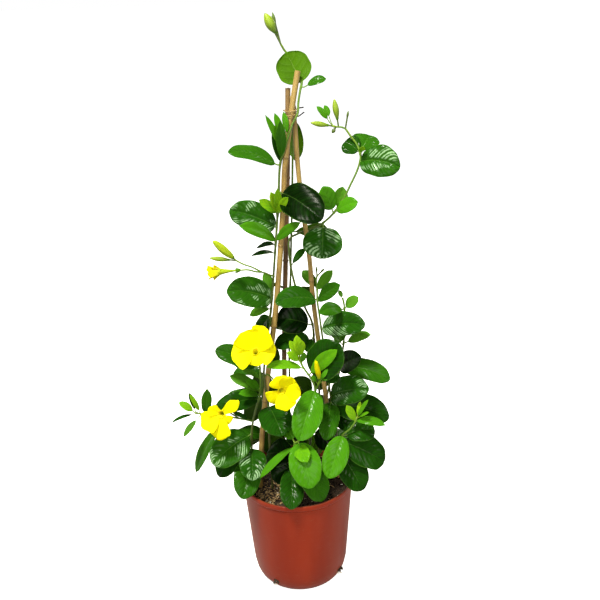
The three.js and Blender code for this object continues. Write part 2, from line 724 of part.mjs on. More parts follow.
function caneBar(line, radius) {
  const curve = caneLine(line);
  const joints = Math.round(curve.getLength() / CANE_JOINT_SPACING);
  const rings = joints * CANE_RINGS_PER_JOINT;
  const swell = (t) => (Math.round(t * rings) % CANE_RINGS_PER_JOINT === 1 ? CANE_JOINT_SWELL : 1);
  return bar(curve, rings, CANE_SIDES, (t) => radius * swell(t));
}

// The wire that ties the canes: it runs round the three of them like a tight belt, and both of its
// ends stand out to the right.
function tieWire() {
  const offset = TIE_WIRE_RADIUS + GAP + TIE_PLAY;
  const belts = Object.values(CANES).map(({ radius, line }) => ({ radius, curve: caneLine(line) }));
  const centreAt = (curve, height) => {
    const samples = curve.getPoints(TIE_SAMPLES);
    return samples.reduce((a, b) => (Math.abs(b.z - height) < Math.abs(a.z - height) ? b : a));
  };
  const steps = TIE_TURNS * TIE_STEPS_PER_TURN;
  const points = Array.from({ length: steps + 1 }, (_, i) => {
    const turns = i / TIE_STEPS_PER_TURN;
    const angle = TIE_START_ANGLE + turns * 2 * Math.PI;
    const height = TIE_HEIGHT + TIE_PITCH * turns;
    const out = new THREE.Vector3(Math.cos(angle), Math.sin(angle), 0);
    const reached = belts.map(({ radius, curve }) => {
      const centre = centreAt(curve, height);
      return { centre, radius, far: centre.dot(out) + radius };
    });
    const widest = reached.reduce((a, b) => (b.far > a.far ? b : a));
    const reach = widest.radius * CANE_JOINT_SWELL + offset;
    return widest.centre.clone().addScaledVector(out, reach).setZ(height);
  });
  const tail = (point, rise) => (
    point.clone().add(new THREE.Vector3(TIE_TAIL.reach, TIE_TAIL.back, rise))
  );
  points.unshift(tail(points[0], TIE_TAIL.lowerRise));
  points.push(tail(points[points.length - 1], TIE_TAIL.upperRise));
  return bar(new StemCurve(points), points.length - 1, 4, () => TIE_WIRE_RADIUS);
}

// The pot: a turned wall with a rim band and a large rounded foot, cut by drain holes at the foot.
function potProfile(shrink) {
  const bandFoot = POT_HEIGHT - RIM_BAND_HEIGHT;
  const wallTop = POT_RIM_RADIUS - RIM_BAND_STEP;
  const outline = [
    ...POT_FOOT_CURVE, [POT_WALL_FOOT.radius, POT_WALL_FOOT.height], [wallTop, bandFoot],
  ];
  const lowest = shrink === 0 ? 0 : POT_FLOOR;
  return outline.map(([r, z]) => new THREE.Vector2(r - shrink, Math.max(z, lowest)));
}

function turned(points) {
  return solidOf(new THREE.LatheGeometry(points, POT_SIDES).rotateX(Math.PI / 2));
}

function potSolid() {
  const inner = potProfile(POT_WALL);
  const rimFoot = POT_HEIGHT - RIM_BAND_HEIGHT;
  const points = [
    new THREE.Vector2(0, 0),
    ...potProfile(0),
    new THREE.Vector2(POT_RIM_RADIUS - RIM_EDGE, rimFoot + RIM_EDGE / 2),
    new THREE.Vector2(POT_RIM_RADIUS, POT_HEIGHT - RIM_EDGE),
    new THREE.Vector2(POT_RIM_RADIUS - RIM_EDGE, POT_HEIGHT),
    new THREE.Vector2(POT_RIM_RADIUS - RIM_WALL, POT_HEIGHT),
    ...inner.reverse(),
    new THREE.Vector2(0, POT_FLOOR),
  ];
  const holes = DRAIN_ANGLES.map((angle) => {
    const way = THREE.MathUtils.degToRad(angle);
    const out = new THREE.Vector3(Math.sin(way), -Math.cos(way), DRAIN_DIP);
    const centre = new THREE.Vector3(out.x * DRAIN_REACH, out.y * DRAIN_REACH, DRAIN_HEIGHT);
    const [from, to] = DRAIN_LENGTH.map((reach) => centre.clone().addScaledVector(out, reach));
    return bar(new THREE.LineCurve3(from, to), 1, CANE_SIDES, () => DRAIN_RADIUS);
  });
  return holes.reduce((pot, hole) => pot.subtract(hole), turned(points)).simplify(SLIVER);
}

// The soil fills the pot and is gently heaped, with a plain hole for each cane and stem.
function soilSolid() {
  const wall = potProfile(POT_WALL + GAP).filter(({ y }) => y < SOIL_TOP);
  const wallRise = POT_HEIGHT - RIM_BAND_HEIGHT - POT_WALL_FOOT.height;
  const share = (SOIL_TOP - POT_WALL_FOOT.height) / wallRise;
  const wallTop = POT_RIM_RADIUS - RIM_BAND_STEP;
  const edge = THREE.MathUtils.lerp(POT_WALL_FOOT.radius, wallTop, share) - POT_WALL - GAP;
  const points = [
    new THREE.Vector2(0, POT_FLOOR + GAP),
    ...wall.map(({ x, y }) => new THREE.Vector2(x, y + (y <= POT_FLOOR ? GAP : 0))),
    new THREE.Vector2(edge, SOIL_TOP),
    new THREE.Vector2(edge * SOIL_HEAP_SHARE, SOIL_TOP + SOIL_HEAP),
    new THREE.Vector2(0, SOIL_TOP + SOIL_HEAP),
  ];
  const stemHoles = Object.values(STEMS).map(({ root, branches }) => {
    const [foot, crown, next] = rootedLine(root, branches[0].line).map((p) => seen(...p));
    const deepest = foot.clone().lerp(crown, -GAP / foot.distanceTo(crown));
    const open = crown.clone().lerp(next, STEM_HOLE.reach / crown.distanceTo(next));
    const reach = branches[0].radius + STEM_HOLE.play;
    return bar(new StemCurve([deepest, crown, open]), 2, STEM_SIDES, () => reach);
  });
  const caneHoles = Object.values(CANES).map(({ radius, line }) => {
    const curve = caneLine(line);
    const foot = curve.getPointAt(0).add(new THREE.Vector3(0, 0, -GAP));
    const open = curve.getPointAt(CANE_HOLE.share);
    const reach = radius * CANE_HOLE.swell + GAP;
    return bar(new THREE.LineCurve3(foot, open), 1, CANE_SIDES, () => reach);
  });
  const holes = [...stemHoles, ...caneHoles];
  return holes.reduce((soil, hole) => soil.subtract(hole), turned(points)).simplify(SLIVER);
}

const mandevilla = new THREE.Group();
mandevilla.add(meshOf('pot', potSolid(), 'pot'));
mandevilla.add(meshOf('soil', soilSolid(), 'soil'));
for (const [name, { radius, line }] of Object.entries(CANES)) {
  mandevilla.add(meshOf(name, caneBar(line, radius), 'cane'));
}
mandevilla.add(meshOf('tie', tieWire(), 'tie'));
for (const [name, stem] of Object.entries(STEMS)) {
  mandevilla.add(meshOf(name, fuse(stemPieces(stem)), 'leafy'));
}
for (const [name, flower] of Object.entries(FLOWERS)) {
  mandevilla.add(meshOf(name, flowerSolid(flower), 'corolla'));
}
for (const [name, bud] of Object.entries(BUDS)) {
  mandevilla.add(meshOf(name, budBody(bud), 'corolla'));
}

export default mandevilla;
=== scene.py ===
"""Finish of the potted mandevilla.

The vine's leafy shoots, funnel flowers and buds, its three bamboo canes with their tie, the soil
and the plastic pot are made here as finer pieces that stand for the solids of the frame. Tables
are in millimetres, and meshes in metres.
"""
import logging
import random
from dataclasses import dataclass
from enum import Enum
from math import atan2, cos, hypot, pi, radians, sin
from typing import Optional, Sequence, Union

import bmesh
import bpy
import numpy as np
from bpy.types import ID, Material, Mesh, Node, NodeSocket, NodeTree, Object
from mathutils import Matrix, Vector


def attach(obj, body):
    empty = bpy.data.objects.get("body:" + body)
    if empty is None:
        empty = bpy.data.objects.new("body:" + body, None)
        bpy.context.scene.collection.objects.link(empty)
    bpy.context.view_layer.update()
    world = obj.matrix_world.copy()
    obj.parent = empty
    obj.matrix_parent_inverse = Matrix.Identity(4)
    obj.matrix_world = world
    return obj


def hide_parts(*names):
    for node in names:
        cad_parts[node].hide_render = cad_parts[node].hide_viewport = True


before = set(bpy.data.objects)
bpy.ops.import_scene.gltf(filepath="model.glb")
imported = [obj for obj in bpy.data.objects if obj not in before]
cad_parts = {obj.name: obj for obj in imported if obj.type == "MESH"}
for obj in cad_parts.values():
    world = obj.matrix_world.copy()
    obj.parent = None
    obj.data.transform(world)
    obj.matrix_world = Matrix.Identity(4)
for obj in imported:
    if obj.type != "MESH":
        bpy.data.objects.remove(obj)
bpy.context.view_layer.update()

MM = 0.001
FULL_TURN = 2 * pi
LOG = logging.getLogger("mandevilla")

Point = np.ndarray
Place = tuple[float, float, float]
Colour = tuple[float, float, float]
Stops = tuple[tuple[float, Colour], ...]
Pair = tuple[float, float]
Pairs = tuple[Pair, ...]

# Where a viewer stands. Points of the plant are given as that viewer sees them against the upright
# plane through the pot's axis (x, z), with their true depth (y, positive away from the viewer).
VIEWER = np.array((14.0, -1000.0, 852.0))
VIEW_DOWN = radians(21.8)
VIEW_ROLL = radians(-2.2)
VIEW_LENS = 46.8

SOIL_TOP = 151.0
GREEN_BAR_SIDES = 10
BLADE_THICKNESS = 0.45
LARGE_LEAF = 26
WELD = 2e-5


def seen(x: float, z: float, depth: float) -> Point:
    """Gives the true place of a point that the viewer sees at (x, z).

    Args:
        x: Where it is seen, to the right.
        z: Where it is seen, upward.
        depth: Its true distance behind the upright plane.

    Returns:
        The point in millimetres.
    """
    reach = 1 + depth / abs(VIEWER[1])
    return (np.array((x, 0.0, z)) - VIEWER) * reach + VIEWER


def unit(vector: Point) -> Point:
    """Gives the vector at length 1."""
    return vector / max(1e-9, float(np.linalg.norm(vector)))


def around(first: Point, second: Point, angle: float) -> Point:
    """Gives the way at an angle from the first of two crossed ways towards the second."""
    return first * cos(angle) + second * sin(angle)


def smooth_path(points: Sequence[Point], steps: int) -> np.ndarray:
    """Lays a smooth path through points, with centripetal Catmull-Rom arcs.

    Args:
        points: The points to pass through.
        steps: How many steps each arc has.

    Returns:
        The path's points, one row each.
    """
    given = [np.asarray(p, dtype=float) for p in points]
    if len(given) == 2:
        return np.linspace(given[0], given[1], steps + 1)
    padded = [2 * given[0] - given[1], *given, 2 * given[-1] - given[-2]]
    path = [given[0]]
    for before, here, there, after in zip(padded, padded[1:], padded[2:], padded[3:]):
        k0 = 0.0
        k1 = k0 + float(np.linalg.norm(here - before)) ** 0.5
        k2 = k1 + float(np.linalg.norm(there - here)) ** 0.5
        k3 = k2 + float(np.linalg.norm(after - there)) ** 0.5
        for step in range(1, steps + 1):
            k = k1 + (k2 - k1) * step / steps
            a1 = before * (k1 - k) / (k1 - k0) + here * (k - k0) / (k1 - k0)
            a2 = here * (k2 - k) / (k2 - k1) + there * (k - k1) / (k2 - k1)
            a3 = there * (k3 - k) / (k3 - k2) + after * (k - k2) / (k3 - k2)
            b1 = a1 * (k2 - k) / (k2 - k0) + a2 * (k - k0) / (k2 - k0)
            b2 = a2 * (k3 - k) / (k3 - k1) + a3 * (k - k1) / (k3 - k1)
            path.append(b1 * (k2 - k) / (k2 - k1) + b2 * (k - k1) / (k2 - k1))
    return np.array(path)


class Field:
    """A value in a node tree, reckoned with as a plain number or vector."""

    def __init__(self, recipe: "Recipe", socket: NodeSocket) -> None:
        """Holds the socket that gives the value."""
        self.recipe = recipe
        self.socket = socket

    def __add__(self, other: "Value") -> "Field":
        """Adds."""
        return self.recipe.reckon("ADD", self, other)

    __radd__ = __add__

    def __sub__(self, other: "Value") -> "Field":
        """Subtracts."""
        return self.recipe.reckon("SUBTRACT", self, other)

    def __rsub__(self, other: "Value") -> "Field":
        """Subtracts from a number."""
        return self.recipe.reckon("SUBTRACT", other, self)

    def __mul__(self, other: "Value") -> "Field":
        """Multiplies, and scales a vector by a number."""
        return self.recipe.reckon("MULTIPLY", self, other)

    __rmul__ = __mul__

    def __truediv__(self, other: "Value") -> "Field":
        """Divides."""
        return self.recipe.reckon("DIVIDE", self, other)

    def __pow__(self, power: "Value") -> "Field":
        """Raises to a power."""
        return self.recipe.reckon("POWER", self, power)

    def unary(self, operation: str) -> "Field":
        """Applies an operation of one value, such as SINE or NORMALIZE."""
        return self.recipe.reckon(operation, self)

    def rise(self, low: float, high: float) -> "Field":
        """Rises softly from 0 at low to 1 at high, or falls where low is the larger.

        Args:
            low: The value at which the result is 0.
            high: The value at which the result is 1.

        Returns:
            The share between 0 and 1.
        """
        sockets = {"Value": self, "From Min": min(low, high), "From Max": max(low, high)}
        node = self.recipe.add("ShaderNodeMapRange", sockets, interpolation_type="SMOOTHSTEP")
        share = self.recipe.out(node, "Result")
        return share if high > low else 1 - share


Value = Union[Field, float, Sequence[float]]


class Recipe:
    """A node tree that is written in plain steps."""

    def __init__(self, tree: NodeTree) -> None:
        """Holds the tree."""
        self.tree = tree

    def feed(self, socket: NodeSocket, value: object) -> None:
        """Links a field, node or socket to an input, or sets the input's own value.

        Args:
            socket: The input.
            value: What it gets.
        """
        if isinstance(value, Field):
            value = value.socket
        elif isinstance(value, Node):
            value = value.outputs[0]
        if isinstance(value, NodeSocket):
            self.tree.links.new(value, socket)
        elif socket.type == "RGBA" and len(value) == 3:
            socket.default_value = (*value, 1.0)
        else:
            socket.default_value = value

    def add(
        self, kind: str, sockets: Optional[dict[object, object]] = None, **settings: object
    ) -> Node:
        """Adds a node.

        Args:
            kind: The node's type. A bare name is that of a geometry node.
            sockets: Values for its inputs, by identifier, name or number.
            settings: Properties to set on it.

        Returns:
            The node.
        """
        node = self.tree.nodes.new(kind if "Node" in kind else f"GeometryNode{kind}")
        for name, value in settings.items():
            setattr(node, name, value)
        for key, value in (sockets or {}).items():
            by_identifier = [s for s in node.inputs if s.identifier == key]
            self.feed(by_identifier[0] if by_identifier else node.inputs[key], value)
        return node

    def out(self, node: Node, output: Union[int, str] = 0) -> Field:
        """Gives a node's output as a field."""
        return Field(self, node.outputs[output])

    def reckon(self, operation: str, *values: Value) -> Field:
        """Adds one step of arithmetic, on vectors where any value is one.

        Args:
            operation: The operation's name.
            values: What it works on.

        Returns:
            The result.
        """
        vectors = [
            v.socket.type == "VECTOR" if isinstance(v, Field) else isinstance(v, (tuple, list))
            for v in values
        ]
        keys: Sequence[object] = range(len(values))
        if operation == "MULTIPLY" and any(vectors) and not all(vectors):
            operation, keys = "SCALE", (0, "Scale")
            values = (values[vectors.index(True)], values[vectors.index(False)])
        kind = "ShaderNodeVectorMath" if any(vectors) else "ShaderNodeMath"
        node = self.add(kind, dict(zip(keys, values)), operation=operation)
        scalar = operation in ("LENGTH", "DOT_PRODUCT")
        return self.out(node, "Value" if scalar else 0)

    def vector(self, x: Value, y: Value, z: Value) -> Field:
        """Joins three numbers in a vector."""
        return self.out(self.add("ShaderNodeCombineXYZ", {0: x, 1: y, 2: z}))

    def parts(self, vector: Value) -> tuple[Field, Field, Field]:
        """Splits a vector in its three numbers."""
        node = self.add("ShaderNodeSeparateXYZ", {0: vector})
        return self.out(node, 0), self.out(node, 1), self.out(node, 2)

    def noise(self, where: Value, scale: float, detail: float = 3, rough: float = 0.55) -> Field:
        """Gives smooth noise between about 0.2 and 0.8."""
        sockets = {"Vector": where, "Scale": scale, "Detail": detail, "Roughness": rough}
        return self.out(self.add("ShaderNodeTexNoise", sockets))


def set_out(name: str, data: ID) -> Object:
    """Makes an object and links it to the scene.

    Args:
        name: The object's name.
        data: Its mesh, light or camera.

    Returns:
        The object.
    """
    body = bpy.data.objects.new(name, data)
    bpy.context.scene.collection.objects.link(body)
    return body


def baked(body: Object) -> Mesh:
    """Turns an object with its modifiers into a plain mesh, and takes the object away.

    Args:
        body: The object.

    Returns:
        The mesh.
    """
    graph = bpy.context.evaluated_depsgraph_get()
    shown = body.evaluated_get(graph)
    mesh = bpy.data.meshes.new_from_object(shown, preserve_all_data_layers=True, depsgraph=graph)
    carrier = body.data
    bpy.data.objects.remove(body)
    bpy.data.meshes.remove(carrier)
    return mesh


def joined(meshes: Sequence[Mesh], name: str) -> Mesh:
    """Joins meshes in one.

    Args:
        meshes: The meshes.
        name: A name for the objects that carry them meanwhile.

    Returns:
        The one mesh.
    """
    bodies = [set_out(name, mesh) for mesh in meshes]
    with bpy.context.temp_override(
        active_object=bodies[0], object=bodies[0], selected_editable_objects=bodies
    ):
        bpy.ops.object.join()
    mesh = bodies[0].data
    bpy.data.objects.remove(bodies[0])
    return mesh


def hold(mesh: Mesh, title: str, values: Sequence) -> None:
    """Writes an attribute on a mesh's points.

    Args:
        mesh: The mesh.
        title: The attribute's name.
        values: Its number or vector at each point.
    """
    numbers = np.array(values, dtype=float)
    kind, key = ("FLOAT_VECTOR", "vector") if numbers.ndim > 1 else ("FLOAT", "value")
    mesh.attributes.new(title, kind, "POINT").data.foreach_set(key, numbers.ravel())


def place(mesh: Mesh, name: str, node: str) -> None:
    """Puts a finished mesh in the scene as a piece of the object.

    Args:
        mesh: The mesh, in metres, at its place.
        name: The piece's name.
        node: The solid that it stands for.
    """
    mesh.name = name
    piece = set_out(name, mesh)
    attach(piece, "root")
    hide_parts(node)
    LOG.info("%s: %d triangles", name, sum(len(p.vertices) - 2 for p in mesh.polygons))


class GrowingRecipe(Recipe):
    """A Geometry Nodes tree with named inputs, applied to one object at a time."""

    def __init__(self, name: str, inputs: dict[str, Sequence[str]]) -> None:
        """Makes the tree.

        Args:
            name: The tree's name.
            inputs: The inputs' names after the geometry, by their kind of socket.
        """
        super().__init__(bpy.data.node_groups.new(name, "GeometryNodeTree"))
        named = [("Geometry", "INPUT", "Geometry"), ("Geometry", "OUTPUT", "Geometry")]
        named += [(title, "INPUT", kind) for kind, titles in inputs.items() for title in titles]
        for title, way, kind in named:
            self.tree.interface.new_socket(title, in_out=way, socket_type=f"NodeSocket{kind}")
        self.given = self.tree.nodes.new("NodeGroupInput")
        self.result = self.tree.nodes.new("NodeGroupOutput")

    def input(self, name: str) -> Field:
        """Gives one of the named inputs."""
        return Field(self, self.given.outputs[name])

    def named(self, name: str, kind: str = "FLOAT") -> Field:
        """Reads an attribute by its name."""
        node = self.add("InputNamedAttribute", {"Name": name}, data_type=kind)
        return self.out(node)

    def store(
        self, geometry: object, name: str, value: Value, kind: str = "FLOAT", domain: str = "POINT"
    ) -> Node:
        """Writes an attribute.

        Args:
            geometry: What it is written on.
            name: The attribute's name.
            value: The attribute's value.
            kind: Its data type.
            domain: Where it is held.

        Returns:
            The node.
        """
        sockets = {"Geometry": geometry, "Name": name, "Value": value}
        return self.add("StoreNamedAttribute", sockets, data_type=kind, domain=domain)

    def join(self, *parts: object) -> Node:
        """Joins geometries in one.

        Args:
            parts: The geometries.

        Returns:
            The node.
        """
        node = self.add("JoinGeometry")
        for part in parts:
            self.feed(node.inputs[0], part)
        return node

    def weld(self, geometry: object) -> Node:
        """Merges points that lie in one place."""
        sockets = {"Geometry": geometry, "Distance": WELD}
        return self.add("MergeByDistance", sockets)

    def sweep(self, paths: object, radius: Value, kind: float) -> Node:
        """Makes round bars along paths.

        Args:
            paths: The paths.
            radius: The bars' radius at each point.
            kind: The bars' kind, which chooses their material.

        Returns:
            The smooth bars.
        """
        sockets = {"Resolution": self.input("Bar Sides"), "Radius": 1}
        ring = self.add("CurvePrimitiveCircle", sockets, mode="RADIUS")
        sockets = {"Curve": paths, "Profile Curve": ring, "Scale": radius, "Fill Caps": True}
        bars = self.add("CurveToMesh", sockets)
        bars = self.store(bars, "kind", kind, domain="FACE")
        return self.add("SetShadeSmooth", {"Geometry": bars})

    def end(self, geometry: object, finishes: Sequence[str]) -> None:
        """Ends the tree: real geometry, with a material for each value of the part's kind.

        Args:
            geometry: The geometry so far, with the face attribute "kind".
            finishes: The material inputs' names, in the order of the kinds.
        """
        last: object = self.add("RealizeInstances", {"Geometry": geometry})
        for number, title in enumerate(finishes):
            chosen = self.reckon("COMPARE", self.named("kind"), number, 0.5)
            sockets = {"Geometry": last, "Selection": chosen, "Material": self.input(title)}
            last = self.add("SetMaterial", sockets)
        self.feed(self.result.inputs[0], last)

    def grow(self, base: Object, values: dict[str, object]) -> Mesh:
        """Applies the tree to an object and takes the object away.

        Args:
            base: The object that carries the points and paths.
            values: The inputs' values by name.

        Returns:
            The grown mesh.
        """
        modifier = base.modifiers.new("grow", "NODES")
        modifier.node_group = self.tree
        for item in self.tree.interface.items_tree:
            if item.in_out == "INPUT" and item.name in values:
                modifier[item.identifier] = values[item.name]
        return baked(base)


def blade_recipe() -> GrowingRecipe:
    """Makes the tree that grows leaf blades on points and bars along paths.

    Each single point holds its blade's bow, breadth and side veins as attributes. A blade is a
    closed thin sheet: its halves swell up from a sunken midrib, its skin is quilted between the
    side veins, and its margins wave. Edges become round bars.

    Returns:
        The tree.
    """
    finishes = ("Blade", "Underside", "Bark")
    counts = ("Rows", "Columns", "Bar Sides")
    inputs = {"Int": counts, "Float": ("Thickness",), "Material": finishes}
    tree = GrowingRecipe("leafy growth", inputs)
    sizes = {"Size X": 1, "Size Y": 1}
    sizes |= {"Vertices X": tree.input("Columns"), "Vertices Y": tree.input("Rows")}
    grid = tree.add("MeshGrid", sizes)
    across_share, row_share, _ = tree.parts(tree.out(grid, 1))
    along = 0.5 - (row_share * pi).unary("COSINE") * 0.5
    station = tree.vector(across_share, along, 0)
    sheet = tree.store(grid, "blade_uv", station, "FLOAT2", "CORNER")
    sheet = tree.store(sheet, "station", station, "FLOAT_VECTOR")
    leafy = tree.named("half_width").rise(0, 1e-6)
    sockets = {"Points": tree.input("Geometry"), "Selection": leafy, "Instance": sheet}
    copies = tree.add("InstanceOnPoints", sockets)
    sheets = tree.add("RealizeInstances", {"Geometry": copies})

    titles = ("station", "start", "crest", "tip", "across")
    station, start, crest, tip, flat = [tree.named(title, "FLOAT_VECTOR") for title in titles]
    share, v, _ = tree.parts(station)
    side = share * 2 - 1
    u = side.unary("ABSOLUTE")
    rest = 1 - v
    middle = start * (rest * rest) + crest * (rest * v * 2) + tip * (v * v)
    tangent = (crest - start) * rest + (tip - crest) * v
    up = tree.reckon("CROSS_PRODUCT", flat, tangent).unary("NORMALIZE")
    twist = tree.named("twist") * (v - 0.4)
    across = flat * twist.unary("COSINE") + up * twist.unary("SINE")
    up = up * twist.unary("COSINE") - flat * twist.unary("SINE")

    half, slim, seed = tree.named("half_width"), tree.named("slim"), tree.named("seed")
    full = (v * rest * 4).unary("ABSOLUTE") ** (slim * 0.22 + 0.47)
    breadth = full * (1 - (v.rise(0.86, 1) * (slim * 0.3 + 0.2))) * (1.04 - slim * 0.04)
    ripple = ((v * 9 + seed * 7).unary("SINE") + (v * 17 + seed * 31).unary("SINE") * 0.5) * u
    reach = half * breadth * (1 + ripple * 0.022)
    offset = side.rise(-0.01, 0.01) * 0.5
    phase = (v - u * 0.24 - u * u * 0.1) * tree.named("veins") + offset + seed
    bulge = (phase * pi).unary("SINE").unary("ABSOLUTE") ** 0.75
    window = u.rise(0, 0.16) * u.rise(1, 0.86) * v.rise(0, 0.08) * v.rise(1, 0.92)
    swell = reach * tree.named("fold") * (u * 1.5 - u * u * 0.5)
    wave = (v * 6.5 + seed * 9 + side * 1.2).unary("SINE") * tree.named("wave")
    roll = (u**4) * reach * tree.named("roll")
    height = swell + tree.named("quilt") * bulge * window + half * wave * u * u * full - roll
    spot = middle + across * (side * reach) + up * height
    shaped = tree.add("SetPosition", {"Geometry": sheets, "Position": spot})
    lower = tree.store(tree.weld(shaped), "kind", 1, domain="FACE")
    under = tree.add("FlipFaces", {"Mesh": lower})
    sockets = {"Mesh": lower, "Offset Scale": tree.input("Thickness"), "Individual": False}
    raised = tree.add("ExtrudeMesh", sockets, mode="FACES")
    is_top = tree.out(raised, "Top")
    top = tree.store(raised, "kind", 1 - is_top, domain="FACE")
    sockets = {"Geometry": top, "Selection": is_top, "Shade Smooth": True}
    rims = tree.add("SetShadeSmooth", sockets, domain="FACE")
    smooth_under = tree.add("SetShadeSmooth", {"Geometry": under})
    blades = tree.weld(tree.join(rims, smooth_under))
    paths = tree.add("MeshToCurve", {"Mesh": tree.input("Geometry")})
    bars = tree.sweep(paths, tree.named("bar_radius"), 2)
    tree.end(tree.join(blades, bars), finishes)
    return tree


def bar_recipe() -> GrowingRecipe:
    """Makes the tree that grows a jointed or plain bar along a path.

    Returns:
        The tree.
    """
    sizes = ("Radius", "Step", "Joint Spacing", "Joint Offset", "Joint Rise", "Joint Length")
    sizes += ("Taper",)
    inputs = {"Float": sizes, "Int": ("Bar Sides",), "Material": ("Finish",)}
    tree = GrowingRecipe("bar along a path", inputs)
    radius, step, spacing, offset, rise, length, taper = [tree.input(title) for title in sizes]
    paths = tree.add("MeshToCurve", {"Mesh": tree.input("Geometry")})
    sockets = {"Curve": paths, "Length": step}
    even = tree.add("ResampleCurve", sockets, mode="LENGTH")
    parameter = tree.add("SplineParameter")
    run = tree.out(parameter, "Length") + offset
    away = ((run / spacing + 0.5).unary("FRACT") - 0.5) * spacing
    near = away / length
    ridge = (0 - near * near).unary("EXPONENT")
    groove = (near + 0.9) * 2.2
    notch = (0 - groove * groove).unary("EXPONENT") * 0.45
    lean = 1 - tree.out(parameter, "Factor") * taper
    marked = tree.store(even, "girth", radius * (lean + (ridge - notch) * rise))
    marked = tree.store(marked, "joint", ridge)
    tree.end(tree.sweep(marked, tree.named("girth"), 0), ("Finish",))
    return tree


def crumb_recipe() -> GrowingRecipe:
    """Makes the tree that strews crumbs, chips and fibres over a surface.

    The surface holds the attributes "strewn", 1 where it is open, and "fibrous", the share of pale
    fibres there.

    Returns:
        The tree.
    """
    finishes = ("Ground", "Chip", "Grit")
    sizes = ("Crumb Density", "Chip Density", "Crumb Size", "Chip Length")
    tree = GrowingRecipe("strewn soil", {"Float": sizes, "Int": ("Seed",), "Material": finishes})
    crumb_density, chip_density, crumb_size, chip_length = [tree.input(title) for title in sizes]
    surface = tree.input("Geometry")

    def drawn(low: Value, high: Value, seed: float) -> Field:
        """Draws a number, or a rotation from three, for each point.

        Args:
            low: The least value.
            high: The largest value.
            seed: What is added to the tree's seed.

        Returns:
            The draw.
        """
        turned = isinstance(low, tuple)
        kind, tail = ("FLOAT_VECTOR", "") if turned else ("FLOAT", "_001")
        sockets = {"Min" + tail: low, "Max" + tail: high, "Seed": tree.input("Seed") + seed}
        node = tree.add("FunctionNodeRandomValue", sockets, data_type=kind)
        return tree.out(node, 0 if turned else 1)

    def strew(
        density: Value, seed: int, shape: object, turn: Value, size: Value, kind: float
    ) -> Node:
        """Strews copies of a shape over the open surface.

        Args:
            density: How many there are on a square metre.
            seed: What sets their places.
            shape: The shape.
            turn: Each copy's rotation.
            size: Each copy's scale.
            kind: The copies' kind, which chooses their material.

        Returns:
            The copies.
        """
        sockets = {"Mesh": surface, "Density": density, "Seed": seed}
        points = tree.add("DistributePointsOnFaces", sockets, distribute_method="RANDOM")
        sockets = {"Points": points, "Instance": shape, "Rotation": turn, "Scale": size}
        copies = tree.add("InstanceOnPoints", sockets)
        return tree.store(copies, "kind", kind, domain="INSTANCE")

    ground = tree.store(surface, "kind", 0, domain="FACE")
    strewn, fibrous = tree.named("strewn"), tree.named("fibrous")
    ball = tree.add("MeshIcoSphere", {"Radius": 1, "Subdivisions": 1})
    any_turn = drawn((0, 0, 0), (6.28, 6.28, 6.28), 3)
    flat_turn = drawn((-0.35, -0.35, 0), (0.35, 0.35, 6.28), 5)
    share = drawn(0.3, 1, 7)
    size = share * share * crumb_size
    squash = tree.vector(size * 1.25, size, size * 0.75)
    density = crumb_density * strewn * (1 - fibrous * 0.7)
    crumbs = strew(density, 11, ball, any_turn, squash, 0)

    sockets = {"Size": (1, 1, 1), "Vertices X": 4, "Vertices Y": 2, "Vertices Z": 2}
    bar = tree.add("MeshCube", sockets)
    bent, _, _ = tree.parts(tree.out(tree.add("InputPosition")))
    bow = tree.vector(0, (bent * 3).unary("COSINE") * 0.5, (bent * 2).unary("SINE"))
    chip = tree.add("SetPosition", {"Geometry": bar, "Offset": bow})
    length = drawn(0.35, 1, 13) * chip_length
    sizes = tree.vector(length, length * 0.12, length * 0.09)
    chips = strew(chip_density * strewn * (fibrous + 0.035), 17, chip, flat_turn, sizes, 1)
    size = drawn(0.25, 0.7, 23) * crumb_size
    cube = tree.vector(size, size, size)
    grits = strew(crumb_density * strewn * 0.02, 29, ball, any_turn, cube, 2)
    tree.end(tree.join(ground, crumbs, chips, grits), finishes)
    return tree


